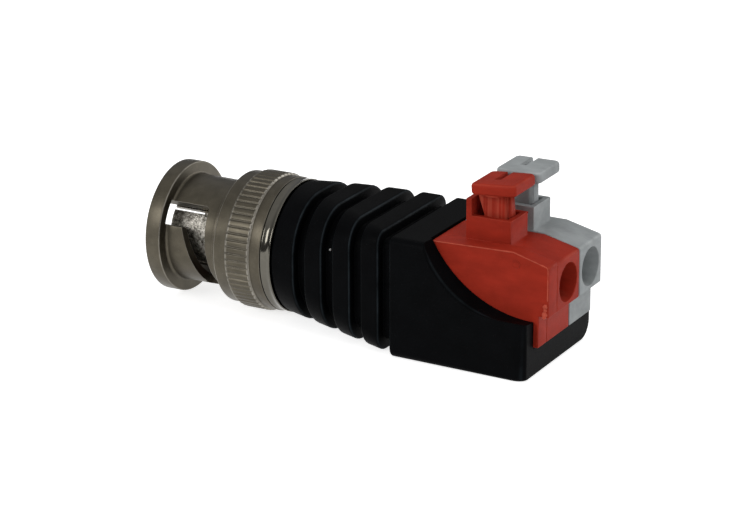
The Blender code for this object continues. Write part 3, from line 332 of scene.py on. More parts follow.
def rough_nickel(metal):
    """Crinkled plating of the plug body, seen sparkling through the slots."""
    finish = Finish("rough_nickel")
    crinkle = finish.noise(0.32 * MM, 4.0, 0.65)
    grain = finish.noise(0.08 * MM, 2.0, 0.6)
    tone = finish.mix(finish.spread(crinkle, 0.35, 0.65), scaled(metal.nickel_color, 0.6),
                      scaled(metal.nickel_light, 0.85))
    finish.surface(tone, finish.spread(grain, 0.3, 0.7, 0.20, 0.42), metallic=1.0)
    finish.bumps([(crinkle, 0.09 * MM, 0.8), (grain, 0.012 * MM, 0.6)])
    return finish.material


def polished_nickel(metal):
    finish = Finish("polished_nickel")
    haze = finish.noise(0.7 * MM, 3.0, 0.6)
    scratches = finish.noise(0.05 * MM, 2.0, 0.6, finish.stretched((1.0, 0.05, 0.05)))
    finish.surface(finish.patchy(haze, 0.3, metal.collar_color, 0.88),
                   finish.blur(scratches, metal.collar_roughness, 0.04, 0.08, high=0.75),
                   metallic=1.0)
    finish.bumps([(scratches, 0.002 * MM, 0.3)], finish.rounded_normal(0.12 * MM))
    return finish.material


def plain_metal(name, color, roughness, grain_size):
    finish = Finish(name)
    drawn = finish.noise(grain_size, 2.0, 0.6, finish.stretched((0.08, 1.0, 1.0)))
    haze = finish.noise(0.9 * MM, 2.0, 0.5)
    finish.surface(finish.patchy(haze, 0.3, color, 0.82), finish.blur(drawn, roughness, 0.06, 0.08),
                   metallic=1.0)
    finish.bumps([(drawn, 0.003 * MM, 0.4)], finish.rounded_normal(0.04 * MM))
    return finish.material


def housing_black(plastic):
    finish = Finish("housing_black")
    grain = finish.noise(0.13 * MM, 3.0, 0.65)
    flow = finish.noise(2.4 * MM, 3.0, 0.55)
    dust = finish.noise(0.07 * MM, 1.0, 0.5)
    tone = finish.patchy(flow, 0.35, plastic.black_color, 0.8, 1.25)
    tone = finish.mix(finish.spread(dust, 0.74, 0.80, 0.0, 0.5), tone, DUST_COLOR)
    # Paler black where the mesh marks rubbed: a painted highlight along the ribs' rear edges and
    # the scoop's rim, partly rubbed plastic.
    worn_and_highlit = finish.math('MULTIPLY', finish.rubbed(), finish.spread(flow, 0.35, 0.6, 0.35, 1.0))
    tone = finish.mix(worn_and_highlit, tone, plastic.black_rub_and_highlight)
    finish.surface(tone, finish.blur(grain, plastic.black_roughness, 0.07, 0.09),
                   specular=HOUSING_GLOSS)
    finish.bumps([(flow, 0.02 * MM, 0.15), (grain, 0.010 * MM, 0.5)],
                 finish.rounded_normal(plastic.edge_round))
    return finish.material


def terminal_plastic(name, color, pale, plastic, streaks_below=None):
    """Terminal plastic, with pale drag lines below a height if one is given."""
    finish = Finish(name)
    grain = finish.noise(0.11 * MM, 3.0, 0.6)
    flow = finish.noise(1.9 * MM, 4.0, 0.6, finish.stretched((0.55, 1.0, 1.3)))
    specks = finish.noise(0.16 * MM, 1.0, 0.5)
    rounded = finish.rounded_normal(plastic.edge_round)
    tone = finish.patchy(flow, 0.32, color, 0.86, 1.14)
    tone = finish.mix(finish.spread(specks, 0.70, 0.80, 0.0, 0.3), tone, pale)
    # Paler plastic along edges and rubbed roundings: partly stress whitening, partly a painted
    # highlight along edges.
    edges = finish.math('MULTIPLY', finish.edge_share(rounded), 0.40)
    worn_and_highlit = finish.math('MULTIPLY', finish.rubbed(), finish.spread(flow, 0.35, 0.6, 0.15, 0.6))
    tone = finish.mix(finish.math('MAXIMUM', edges, worn_and_highlit), tone, pale)
    if streaks_below is not None:
        along = finish.stretched((1.0, 1.0, DRAG_LINE_STRETCH))
        drag = finish.noise(DRAG_LINE_WIDTH, 2.0, 0.5, along)
        height = finish.node("ShaderNodeSeparateXYZ", {0: finish.place}).outputs["Z"]
        low = finish.spread(height, streaks_below, streaks_below - 0.2 * MM)
        lines = finish.math('MULTIPLY', finish.spread(drag, 0.42, 0.60, 0.0, 0.62), low)
        tone = finish.mix(lines, tone, pale)
    finish.surface(tone, finish.blur(grain, plastic.terminal_roughness, 0.07, 0.08),
                   specular=TERMINAL_GLOSS)
    finish.bumps([(flow, 0.015 * MM, 0.2), (grain, 0.008 * MM, 0.45)], rounded)
    return finish.material


def moulded(name, color, roughness, grain_size=0.12 * MM):
    finish = Finish(name)
    grain = finish.noise(grain_size, 3.0, 0.6)
    flow = finish.noise(1.5 * MM, 3.0, 0.5)
    finish.surface(finish.patchy(flow, 0.3, color, 0.85), finish.blur(grain, roughness, 0.06, 0.08),
                   specular=0.35)
    finish.bumps([(grain, 0.008 * MM, 0.4)], finish.rounded_normal(0.05 * MM))
    return finish.material


# Mesh helpers

HARD_EDGE_DEG = 60.0
ROUNDED_EDGE_DEG = (30.0, 43.0)
MERGE_DISTANCE = 0.0005 * MM
FLAT_DEG = 0.3


def around_axis(x, radius, angle_deg):
    """A point at an angle from the near side of the connector axis, + upwards."""
    angle = math.radians(angle_deg)
    return (x, -radius * math.cos(angle), AXIS_Z + radius * math.sin(angle))


def from_mouth(x, y, z):
    """A place given in millimetres, with x from the coupling's mouth."""
    return (SLEEVE_LOW.x + x * MM, y * MM, z * MM)


def bridge(shape, rings, closed=False):
    """Join each ring of vertices to the next, then the last to the first, or close both ends."""
    for a, b in zip(rings, rings[1:] + rings[:1] if closed else rings[1:]):
        for i in range(len(a)):
            j = (i + 1) % len(a)
            shape.faces.new((a[i], a[j], b[j], b[i]))
    if not closed:
        shape.faces.new(rings[0])
        shape.faces.new(rings[-1])


def lofted(loops, rubbed=None):
    """Closed solid through loops of points, each loop with its own rubbed value, which the finishes
    paint as wear and highlight.
    """
    shape = bmesh.new()
    layer = shape.verts.layers.float.new("rubbed")
    rings = []
    for i, loop in enumerate(loops):
        ring = [shape.verts.new(point) for point in loop]
        for vert in ring:
            vert[layer] = rubbed[i] if rubbed else 0.0
        rings.append(ring)
    bridge(shape, rings)
    bmesh.ops.recalc_face_normals(shape, faces=shape.faces)
    return shape


def turned(rows, steps):
    """Closed ring turned round the connector axis from (x, radius) rows."""
    shape = bmesh.new()
    rings = [[shape.verts.new(around_axis(x, radius, 360.0 * i / steps)) for i in range(steps)]
             for x, radius in rows]
    bridge(shape, rings, closed=True)
    return shape


def new_object(name, data):
    item = bpy.data.objects.new(name, data)
    bpy.context.scene.collection.objects.link(item)
    return item


def as_object(name, shape):
    """An object made from mesh code."""
    data = bpy.data.meshes.new(name)
    shape.to_mesh(data)
    shape.free()
    return new_object(name, data)


def box_tool(name, low, high):
    loops = [[(x, low[1], low[2]), (x, high[1], low[2]), (x, high[1], high[2]),
              (x, low[1], high[2])] for x in (low[0], high[0])]
    return as_object(name, lofted(loops))


def rounded_loop(low, high, rounds, steps=12):
    """Rectangle of (u, v) points, with rounds at its corners in the order ++, -+, --, +-."""
    centers = ((high[0] - rounds[0], high[1] - rounds[0]),
               (low[0] + rounds[1], high[1] - rounds[1]),
               (low[0] + rounds[2], low[1] + rounds[2]),
               (high[0] - rounds[3], low[1] + rounds[3]))
    points = []
    for (u, v), size, corner in zip(centers, rounds, range(4)):
        for i in range(steps + 1):
            angle = math.pi / 2 * (corner + i / steps)
            points.append((u + size * math.cos(angle), v + size * math.sin(angle)))
    return points


def remove_tools(*tools):
    for tool in tools:
        bpy.data.objects.remove(tool, do_unlink=True)


def new_piece(name, shape, material, body=ROOT_BODY):
    """Turn mesh code into a piece that rides on a body."""
    bmesh.ops.recalc_face_normals(shape, faces=shape.faces)
    item = as_object(name, shape)
    item.data.materials.append(material)
    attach(item, body)
    return item


def cad_shape(name):
    """Mesh copy of a CAD node, with its flat faces whole again."""
    shape = bmesh.new()
    shape.from_mesh(NODES[name].data)
    bmesh.ops.remove_doubles(shape, verts=shape.verts, dist=MERGE_DISTANCE)
    bmesh.ops.dissolve_limit(shape, angle_limit=math.radians(FLAT_DEG), verts=shape.verts,
                             edges=shape.edges)
    bmesh.ops.recalc_face_normals(shape, faces=shape.faces)
    return shape


def soften(shape, width):
    """Round the hard outward edges, and note the middle of each rounding as rubbed, where the
    finish paints a pale line that is partly wear and partly a painted highlight.
    """
    rubbed = shape.verts.layers.float.new("rubbed")
    leans = {edge: math.degrees(edge.calc_face_angle_signed(0.0)) for edge in shape.edges
             if len(edge.link_faces) == 2}
    for edge, lean in leans.items():
        if ROUNDED_EDGE_DEG[0] < lean < ROUNDED_EDGE_DEG[1]:
            for vert in edge.verts:
                vert[rubbed] = 1.0
    hard = [edge for edge, lean in leans.items() if lean > HARD_EDGE_DEG]
    made = bmesh.ops.bevel(shape, geom=hard, offset=width, offset_type='OFFSET', segments=2,
                           profile=0.5, affect='EDGES', clamp_overlap=False)
    strips = set(made["faces"])
    for vert in made["verts"]:
        if vert.is_valid:
            vert[rubbed] = 1.0 if strips.issuperset(vert.link_faces) else 0.0


def whole_mesh(item):
    """The mesh of an object with its modifiers applied."""
    graph = bpy.context.evaluated_depsgraph_get()
    return bpy.data.meshes.new_from_object(item.evaluated_get(graph))


def smooth(data):
    for face in data.polygons:
        face.use_smooth = True


def cut(item, tools):
    for tool in tools:
        modifier = item.modifiers.new("cut", 'BOOLEAN')
        modifier.operation = 'DIFFERENCE'
        modifier.solver = 'EXACT'
        modifier.object = tool
    return item


def settle(item, smooth_deg):
    """Apply a piece's modifiers, and shade it smooth but for its real edges."""
    item.data = whole_mesh(item)
    item.modifiers.clear()
    smooth(item.data)
    item.data.set_sharp_from_angle(angle=math.radians(smooth_deg))


def even_normals(item):
    """Let large faces keep their own direction, so that only the roundings bend the light."""
    item.modifiers.new("weigh", 'WEIGHTED_NORMAL').keep_sharp = True
    item.data = whole_mesh(item)
    item.modifiers.clear()


def stand_in(name, shape, material, tools=(), smooth_deg=50.0):
    """A smooth piece that keeps the place of a CAD node and stands for it."""
    piece = new_piece(name + "_skin", shape, material, NODES[name]["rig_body"])
    settle(cut(piece, tools), smooth_deg)
    even_normals(piece)
    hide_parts(name)
    return piece


# Coupling sleeve: fine knurl, soft edges and bayonet slots

FLANGE_RADIUS = 7.22 * MM
FLANGE_LENGTH = 1.8 * MM
NECK_LENGTH = 6.85 * MM
FRONT_BAND_LENGTH = 1.5 * MM
KNURL_LENGTH = 2.95 * MM
SKIRT_LENGTH = 1.35 * MM
BORE_RADIUS = 4.9 * MM
BORE_LENGTH = 6.0 * MM
BORE_CHAMFER = 0.2 * MM
NECK_RADIUS = 5.85 * MM
NECK_HOLLOW = 0.30 * MM
BAND_RADIUS = 7.25 * MM
KNURL_RADIUS = 7.57 * MM
KNURL_RIDGES = 64
SKIRT_RADIUS = 7.35 * MM
CHAMBER_RADIUS = 6.1 * MM
SLOT_TOP_DEG = 45.0
SLOT_LOW_DEG = 18.0
SLOT_END_DEG = -62.0
SLOT_RADIUS = 6.15 * MM
SLOT_FLOOR_RADIUS = 3.9 * MM
SLOT_CORNER = 0.4 * MM
SLOT_OPEN = -1.0 * MM
SLOT_FRONT = 3.7 * MM
SLOT_BACK = 6.45 * MM
# How fast the slot's front edge climbs and eases off, and its back edge climbs, in metres a degree
FRONT_CLIMB = 0.036 * MM
FRONT_EASE = 0.00016 * MM
BACK_CLIMB = 0.0075 * MM
END_RADIUS = 1.1 * MM
END_MIDDLE = 6.15 * MM
# Shares of one ridge's pitch, and how deep the groove is there
RIDGE = ((0.0, 0.0), (0.19, 0.0), (0.30, 0.08), (0.36, 0.38), (0.44, 0.95), (0.56, 0.95),
         (0.64, 0.38), (0.70, 0.08), (0.81, 0.0))


def coupling_profile(depth):
    """(x, radius, depth of the knurl, how far the plating is rubbed and carries a painted
    highlight) along the sleeve.
    """
    mouth = SLEEVE_LOW.x
    flange = mouth + FLANGE_LENGTH
    shoulder = flange + NECK_LENGTH
    knurl = shoulder + FRONT_BAND_LENGTH
    skirt = knurl + KNURL_LENGTH
    end = skirt + SKIRT_LENGTH
    rows = [(x, radius, 0.0, 0.0) for x, radius in (
        (end, CHAMBER_RADIUS), (flange + BORE_LENGTH, CHAMBER_RADIUS),
        (flange + BORE_LENGTH, BORE_RADIUS), (mouth + BORE_CHAMFER, BORE_RADIUS),
        (mouth, BORE_RADIUS + BORE_CHAMFER))]

    def add(*steps):
        """Rows of (station, mm past it, radius, mm outside it, share of the depth, rubbed share
        that also paints a highlight).
        """
        for x, past, radius, outside, groove, worn_and_highlit in steps:
            rows.append((x + past * MM, radius + outside * MM, groove * depth, worn_and_highlit))

    def corner(x, radius, start_deg, size, worn_and_highlit, steps=4):
        """Quarter round whose middle is at (x, radius)."""
        for i in range(steps + 1):
            angle = math.radians(start_deg - 90.0 * i / steps)
            middle = 1.0 - abs(2.0 * i / steps - 1.0)
            rows.append((x + size * math.cos(angle), radius + size * math.sin(angle), 0.0,
                         worn_and_highlit * middle))

    soft = 0.14 * MM
    # The rubbed values at the flange, shoulder, knurl and skirt corners paint highlight lines
    # there, partly as rubbed plating.
    corner(mouth + soft, FLANGE_RADIUS - soft, 180.0, soft, 0.25)
    corner(flange - soft, FLANGE_RADIUS - soft, 90.0, soft, 0.30)
    for i in range(5):
        angle = math.radians(180.0 + 90.0 * i / 4)
        rows.append((flange + NECK_HOLLOW + NECK_HOLLOW * math.cos(angle),
                     NECK_RADIUS + NECK_HOLLOW + NECK_HOLLOW * math.sin(angle), 0.0, 0.0))
    add((shoulder, -0.18, NECK_RADIUS, 0.0, 0.0, 0.0),
        (shoulder, -0.04, NECK_RADIUS, 0.05, 0.0, 0.0),
        (shoulder, 0.0, NECK_RADIUS, 0.2, 0.0, 0.0))
    corner(shoulder + soft, BAND_RADIUS - soft, 180.0, soft, 0.75)
    add((knurl, -0.10, BAND_RADIUS, 0.0, 0.0, 0.0),
        (knurl, 0.0, BAND_RADIUS, 0.02, 0.0, 0.25),
        (knurl, 0.08, BAND_RADIUS, 0.19, 0.4, 0.7),
        (knurl, 0.18, KNURL_RADIUS, -0.02, 1.0, 0.4),
        (knurl, 0.40, KNURL_RADIUS, 0.0, 1.0, 0.0),
        (skirt, -0.18, KNURL_RADIUS, 0.0, 1.0, 0.0),
        (skirt, -0.08, KNURL_RADIUS, -0.03, 0.6, 0.5),
        (skirt, 0.0, SKIRT_RADIUS, 0.02, 0.0, 0.35),
        (skirt, 0.04, SKIRT_RADIUS, -0.04, 0.0, 0.2),
        (skirt, 0.10, SKIRT_RADIUS, -0.02, 0.0, 0.0),
        (skirt, 0.20, SKIRT_RADIUS, 0.0, 0.0, 0.0))
    soft = 0.05 * MM
    corner(end - soft, SKIRT_RADIUS - soft, 90.0, soft, 0.2)
    return rows


def coupling_shape(settings):
    shape = bmesh.new()
    rubbed = shape.verts.layers.float.new("rubbed")
    pitch = 360.0 / KNURL_RIDGES
    rings = []
    for x, radius, depth, worn_and_highlit in coupling_profile(settings.knurl_depth):
        ring = []
        for ridge in range(KNURL_RIDGES):
            for share, groove in RIDGE:
                angle = settings.knurl_turn + pitch * (ridge + share)
                vert = shape.verts.new(around_axis(x, radius - depth * groove, angle))
                # Ridge tops get more of the painted highlight and rub than the grooves.
                vert[rubbed] = worn_and_highlit * (1.0 - 0.8 * groove if depth > 0.0 else 1.0)
                ring.append(vert)
        rings.append(ring)
    bridge(shape, rings, closed=True)
    return shape


def slot_edges(angle):
    """Front and back edge of a bayonet slot, from the mouth, at one angle round the neck."""
    front = SLOT_OPEN
    if angle <= SLOT_LOW_DEG:
        down = SLOT_LOW_DEG - angle
        front = SLOT_FRONT + FRONT_CLIMB * down - FRONT_EASE * down * down
    back = SLOT_BACK + BACK_CLIMB * (SLOT_TOP_DEG - angle)
    along = math.radians(angle - SLOT_END_DEG) * NECK_RADIUS
    reach = math.sqrt(max(END_RADIUS ** 2 - along ** 2, 0.0))
    if angle < SLOT_END_DEG:
        return END_MIDDLE - reach, END_MIDDLE + reach
    if reach > 0.0:
        return min(front, END_MIDDLE - reach), max(back, END_MIDDLE + reach)
    return front, back


def slot_tool(turn_deg):
    """One bayonet slot as a solid between two cylinders round the axis."""
    corner_deg = math.degrees(SLOT_CORNER / NECK_RADIUS)
    spans = []
    for i in range(9):
        turn = math.pi / 2 * i / 8
        spans.append((SLOT_TOP_DEG - corner_deg * (1 - math.cos(turn)), SLOT_OPEN,
                      SLOT_BACK - SLOT_CORNER * (1 - math.sin(turn))))
    angles = [SLOT_TOP_DEG - corner_deg - 1.3 * (i + 1) for i in range(16)]
    angles = [angle for angle in angles if angle > SLOT_LOW_DEG + 0.5] + [SLOT_LOW_DEG + 0.1]
    end_deg = SLOT_END_DEG + math.degrees(END_RADIUS / NECK_RADIUS)
    angles += [SLOT_LOW_DEG + (end_deg - SLOT_LOW_DEG) * i / 36 for i in range(36)]
    for i in range(25):
        reach = END_RADIUS * math.cos(math.pi * (i + 0.3) / 24.6)
        angles.append(SLOT_END_DEG + math.degrees(reach / NECK_RADIUS))
    spans += [(angle, *slot_edges(angle)) for angle in angles]
    loops = []
    for angle, front, back in spans:
        corners = ((front, SLOT_FLOOR_RADIUS), (back, SLOT_FLOOR_RADIUS), (back, SLOT_RADIUS),
                   (front, SLOT_RADIUS))
        loops.append([around_axis(SLEEVE_LOW.x + x, radius, angle + turn_deg)
                      for x, radius in corners])
    return as_object("slot_tool", lofted(loops))


# Rear collar: a polished bead in front of a shallow hollow

COLLAR_BORE = 4.55 * MM
COLLAR_BEAD = 0.15 * MM
COLLAR_DIP = 0.10 * MM
COLLAR_LIP = 0.16 * MM


def collar_shape():
    front, back = SLEEVE_HIGH.x + 0.02 * MM, COLLAR_HIGH.x
    radius = COLLAR_HIGH.z - AXIS_Z
    rows = [(back, COLLAR_BORE), (front, COLLAR_BORE), (front, radius - 0.5 * MM)]
    for i in range(7):
        angle = math.radians(180.0 - 130.0 * i / 6)
        rows.append((front + COLLAR_BEAD + COLLAR_BEAD * math.cos(angle),
                     radius - COLLAR_BEAD + COLLAR_BEAD * math.sin(angle)))
    lip = back - COLLAR_LIP
    start = rows[-1]
    for i in range(1, 9):
        share = i / 9
        rows.append((start[0] + (lip - start[0]) * share,
                     start[1] + (radius - start[1]) * share
                     - COLLAR_DIP * math.sin(math.pi * share)))
    rows += [(lip, radius), (back - 0.05 * MM, radius), (back, radius - 0.05 * MM)]
    return turned(rows, 160)


# Clamp springs


def build_clamp_spring(color, steel):
    """A clamp spring in spring steel, standing in for its CAD node."""
    name = color + "_clamp_spring"
    spring = stand_in(name, cad_shape(name), steel, smooth_deg=40.0)
    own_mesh(spring)


# Housing: ribbed boot, grooves and block, lofted along the axis

BOOT_LENGTH = 14.7 * MM
BOOT_RADIUS = 7.2 * MM
BLOCK_X = HOUSING_LOW.x + BOOT_LENGTH
BLOCK_HALF_WIDTH = HOUSING_HIGH.y
BLOCK_TOP_ABOVE_AXIS = 5.7 * MM
BLOCK_TOP_Z = AXIS_Z + BLOCK_TOP_ABOVE_AXIS
BLOCK_TOP_ROUND = 0.8 * MM
BOOT_BOTTOM_ROUND = 1.5 * MM
BOOT_TOP_EASE = 1.6
BLOCK_NEAR_LOW_ROUNDS = (0.9 * MM, 0.4 * MM)
BLOCK_FAR_LOW_ROUNDS = (1.0 * MM, 1.8 * MM)
GROOVE_COUNT = 4
GROOVE_FIRST = 3.48 * MM
GROOVE_PITCH = 3.5 * MM
GROOVE_WIDTH = 1.3 * MM
GROOVE_DEPTH = 1.1 * MM
GROOVE_ROUND = 0.18 * MM
RIB_ROUND = 0.3 * MM
END_ROUND = 0.6 * MM
END_REACH = 1.5 * MM
END_BOTTOM_ROUND = 0.25 * MM
FAR_END_SHARE = 0.2
BARREL_BORE = 4.6 * MM
CAVITY_X = BLOCK_X + 3.8 * MM
CAVITY_NEAR_Y = -BLOCK_HALF_WIDTH + 2.01 * MM
CAVITY_FLOOR = 3.2 * MM
WIRE_ROOM_LOW = (BODY_HIGH.x, -4.85 * MM, AXIS_Z - 3.17 * MM)
WIRE_ROOM_HIGH = (CAVITY_X + MM, 5.3 * MM, AXIS_Z + 2.83 * MM)
SCOOP_RADIUS = 13.14 * MM
SCOOP_LIP_BELOW_AXIS = 1.44 * MM
SCOOP_OUTER_RADIUS = 9.82 * MM
SCOOP_OUTER_SHORT = 2.5 * MM
SCOOP_OUTER_BELOW_AXIS = 1.2 * MM
SCOOP_ROUND = 0.45 * MM
# Shares of the way from the scoop's inner curve to its outer one, and rubbed values between them,
# which paint a highlight along the walls' rim.
SCOOP_SLOPE_SHARE = 0.75
SCOOP_EDGE_SHARE = 1.3
SCOOP_OUTSIDE_SHARE = 3.2
SCOOP_RUB_AND_HIGHLIGHT = (0.15, 0.8, 1.0, 0.6, 0.25, 0.0)
WALL_THICKNESS = 2.01 * MM


def boot_loop(x, inset=0.0):
    """Section of the boot: round at the collar, square-shouldered at the block."""
    share = min(max((x - HOUSING_LOW.x) / BOOT_LENGTH, 0.0), 1.0)
    half = BOOT_RADIUS + (BLOCK_HALF_WIDTH - BOOT_RADIUS) * share - inset
    low = (AXIS_Z - BOOT_RADIUS) * (1.0 - share) + inset
    rise = (BLOCK_TOP_ABOVE_AXIS - BOOT_RADIUS) * share ** BOOT_TOP_EASE
    high = AXIS_Z + BOOT_RADIUS + rise - inset
    limit = min(half, (high - low) / 2) - 0.002 * MM
    top, bottom = (min(BOOT_RADIUS + (round_size - BOOT_RADIUS) * share - inset / 2, limit)
                   for round_size in (BLOCK_TOP_ROUND, BOOT_BOTTOM_ROUND))
    rounds = (top, top, bottom, bottom)
    return [(x, y, z) for y, z in rounded_loop((-half, low), (half, high), rounds)]


def block_loop(x, inset=0.0, bottom_inset=0.0, far_share=1.0):
    share = min(max((x - BLOCK_X) / (HOUSING_HIGH.x - BLOCK_X), 0.0), 1.0)
    near_low, far_low = (a + (b - a) * share
                         for a, b in (BLOCK_NEAR_LOW_ROUNDS, BLOCK_FAR_LOW_ROUNDS))
    rounds = (BLOCK_TOP_ROUND, BLOCK_TOP_ROUND, near_low, far_low)
    low = (-BLOCK_HALF_WIDTH + inset, bottom_inset)
    high = (BLOCK_HALF_WIDTH - inset * far_share, BLOCK_TOP_Z - inset)
    return [(x, y, z) for y, z in rounded_loop(low, high, rounds)]


def round_steps(size, count=4):
    """(how far before the end, how far inwards, share of the way round) along a quarter round."""
    for i in range(count + 1):
        angle = math.pi / 2 * i / count
        yield size * (1.0 - math.sin(angle)), size * (1.0 - math.cos(angle)), i / count


def housing_shape():
    loops, rubbed = [], []

    def add(loop, value=0.0):
        loops.append(loop)
        rubbed.append(value)

    # The rubbed values paint a highlight line along each rib's rear edge and softer ones at the
    # front edges and the block's end, partly as rubbed plastic.
    for before, inwards, turn in reversed(list(round_steps(RIB_ROUND))):
        add(boot_loop(HOUSING_LOW.x + before, inwards), 0.25 if turn == 0.5 else 0.0)
    for index in range(GROOVE_COUNT):
        middle = HOUSING_LOW.x + GROOVE_FIRST + GROOVE_PITCH * index
        start, end = middle - GROOVE_WIDTH / 2, middle + GROOVE_WIDTH / 2
        for before, inwards, turn in round_steps(RIB_ROUND):
            add(boot_loop(start - before, inwards), {0.5: 1.0, 0.75: 0.35}.get(turn, 0.0))
        wall = ((0.01 * MM, GROOVE_DEPTH - GROOVE_ROUND), (0.06 * MM, GROOVE_DEPTH - 0.05 * MM),
                (GROOVE_ROUND, GROOVE_DEPTH))
        for past, depth in wall:
            add(boot_loop(start + past, depth))
        for past, depth in reversed(wall):
            add(boot_loop(end - past, depth))
        last = index == GROOVE_COUNT - 1
        for before, inwards, turn in reversed(list(round_steps(RIB_ROUND))):
            x = end + before
            loop = block_loop(x, inwards, inwards) if last else boot_loop(x, inwards)
            add(loop, 0.3 if turn == 0.5 else 0.0)
    for before, inwards, turn in round_steps(END_ROUND, 6):
        x = HOUSING_HIGH.x - before * END_REACH / END_ROUND
        bottom = END_BOTTOM_ROUND * inwards / END_ROUND
        add(block_loop(x, inwards, bottom, FAR_END_SHARE), 0.25 if turn == 0.5 else 0.0)
    return lofted(loops, rubbed)


def scoop_curve(radius, short, below_axis, steps=30):
    """Concave edge of a side wall, from above the block's top down to its low end."""
    middle = (HOUSING_HIGH.x - short, AXIS_Z - below_axis + radius)
    start = math.pi + math.asin((middle[1] - (BLOCK_TOP_Z + MM)) / radius)
    points = []
    for i in range(steps + 1):
        angle = start + (1.5 * math.pi - start) * i / steps
        points.append((middle[0] + radius * math.cos(angle), middle[1] + radius * math.sin(angle)))
    return points + [(HOUSING_HIGH.x + MM, middle[1] - radius)]


def scoop_tool():
    """Space above the side walls: their top edges slope from the cavity to a soft outer edge."""
    inner = scoop_curve(SCOOP_RADIUS, 0.0, SCOOP_LIP_BELOW_AXIS)
    outer = scoop_curve(SCOOP_OUTER_RADIUS, SCOOP_OUTER_SHORT, SCOOP_OUTER_BELOW_AXIS)
    slope = SCOOP_SLOPE_SHARE / (WALL_THICKNESS - SCOOP_ROUND)
    sides = [(BLOCK_HALF_WIDTH + MM, SCOOP_OUTSIDE_SHARE, 0.0)]
    edge = SCOOP_EDGE_SHARE - SCOOP_SLOPE_SHARE - slope * SCOOP_ROUND
    for i, value in enumerate(SCOOP_RUB_AND_HIGHLIGHT):
        over = SCOOP_ROUND * (1.0 - i / 5)
        share = SCOOP_SLOPE_SHARE + slope * over + edge * (over / SCOOP_ROUND) ** 2
        sides.append((BLOCK_HALF_WIDTH - SCOOP_ROUND + over, share, value))
    sides.append((BLOCK_HALF_WIDTH - WALL_THICKNESS, 0.0, 0.0))
    loops, rubbed = [], []
    for y, share, value in [(-y, share, value) for y, share, value in sides] + sides[::-1]:
        curve = [(a[0] + (b[0] - a[0]) * share, y, a[1] + (b[1] - a[1]) * share)
                 for a, b in zip(inner, outer)]
        loops.append(curve + [(HOUSING_HIGH.x + MM, y, BLOCK_TOP_Z + MM)])
        rubbed.append(value)
    return as_object("scoop_tool", lofted(loops, rubbed))


def housing_tools():
    """Cavity for the terminals, scoops, bore for the barrel and room for the wires."""
    cavity = box_tool("cavity_tool", (CAVITY_X, CAVITY_NEAR_Y, CAVITY_FLOOR),
                      (HOUSING_HIGH.x + 3 * MM, GREY_HIGH.y + 0.1 * MM, BLOCK_TOP_Z + MM))
    ends = (HOUSING_LOW.x - MM, BODY_HIGH.x + 0.1 * MM)
    rings = [[around_axis(x, BARREL_BORE, 7.5 * i) for i in range(48)] for x in ends]
    bore = as_object("bore_tool", lofted(rings))
    room = box_tool("wire_room_tool", WIRE_ROOM_LOW, WIRE_ROOM_HIGH)
    return [cavity, scoop_tool(), bore, room]


# Push buttons: a soft cornered cap on the moulded stem

CAP_LENGTH = 5.08 * MM
CAP_WIDTH = 4.9 * MM
CAP_THICKNESS = 1.2 * MM
CAP_X = SLEEVE_LOW.x + 38.09 * MM
CAP_Z = AXIS_Z + 10.75 * MM
CAP_CORNER = 0.55 * MM
CAP_FULLER_X = 0.07 * MM
CAP_FULLER_Y = 0.12 * MM
CAP_TOP_ROUND = 0.36 * MM
CAP_LOW_ROUND = 0.30 * MM
# (side from the middle in mm, share of the depth) across the swelling under a cap
SWELLING = 0.42 * MM
SWELLING_SIDES = ((-2.32, 0.55), (-2.2, 0.9), (-2.0, 1.0), (0.0, 0.8))
NOTCH_X = CAP_X + 1.885 * MM
NOTCH_WIDTH = 0.75 * MM
NOTCH_DEPTH = 3.1 * MM
OPENING_Y = 1.3 * MM
LEAN_X = SLEEVE_LOW.x + 41.58 * MM
LEAN_Z = AXIS_Z + 8.0 * MM
RED_LEAN_DEG = 4.8
GREY_LEAN_DEG = 1.0
STREAKS_FROM_TOP = 1.4 * MM


def cap_loop(y, z, inset):
    """Outline of the cap at one height."""
    points = rounded_loop((CAP_X + inset, y - CAP_WIDTH / 2 - CAP_FULLER_Y + inset),
                          (CAP_X + CAP_LENGTH + CAP_FULLER_X - inset,
                           y + CAP_WIDTH / 2 + CAP_FULLER_Y - inset),
                          (CAP_CORNER - 0.6 * inset,) * 4, 7)
    return [(px, py, z) for px, py in points]


def button_cap(y):
    loops, rubbed = [], []
    for before, inwards, turn in reversed(list(round_steps(CAP_LOW_ROUND, 3))):
        loops.append(cap_loop(y, CAP_Z - 0.05 * MM + before, inwards))
        rubbed.append(0.0)
    # The rubbed value at the middle of the top rounding paints a highlight along the cap's top
    # edge, partly as rubbed plastic.
    for before, inwards, turn in round_steps(CAP_TOP_ROUND):
        loops.append(cap_loop(y, CAP_Z + CAP_THICKNESS - before, inwards))
        rubbed.append(0.7 if turn == 0.5 else 0.0)
    return as_object("cap_tool", lofted(loops, rubbed))


def cap_swelling(y):
    """The shallow swelling under the near half of a cap, where it runs into the stem."""
    loops = []
    for side, share in SWELLING_SIDES:
        curve = []
        for i in range(13):
            depth = SWELLING * share * math.sin(math.pi * i / 12)
            curve.append((CAP_X + (0.55 + 4.0 * i / 12) * MM, CAP_Z + 0.1 * MM - depth))
        curve += [(curve[-1][0], CAP_Z + 0.5 * MM), (curve[0][0], CAP_Z + 0.5 * MM)]
        loops.append([(x, y + side * MM, z) for x, z in curve])
    return as_object("swelling_tool", lofted(loops))


def join_shells(piece, others):
    """Take other closed shells into a piece's mesh, standing in each other."""
    graph = bpy.context.evaluated_depsgraph_get()
    joined = bmesh.new()
    for item in [piece, *others]:
        whole = item.evaluated_get(graph)
        joined.from_mesh(whole.to_mesh())
        whole.to_mesh_clear()
    piece.modifiers.clear()
    joined.to_mesh(piece.data)
    joined.free()


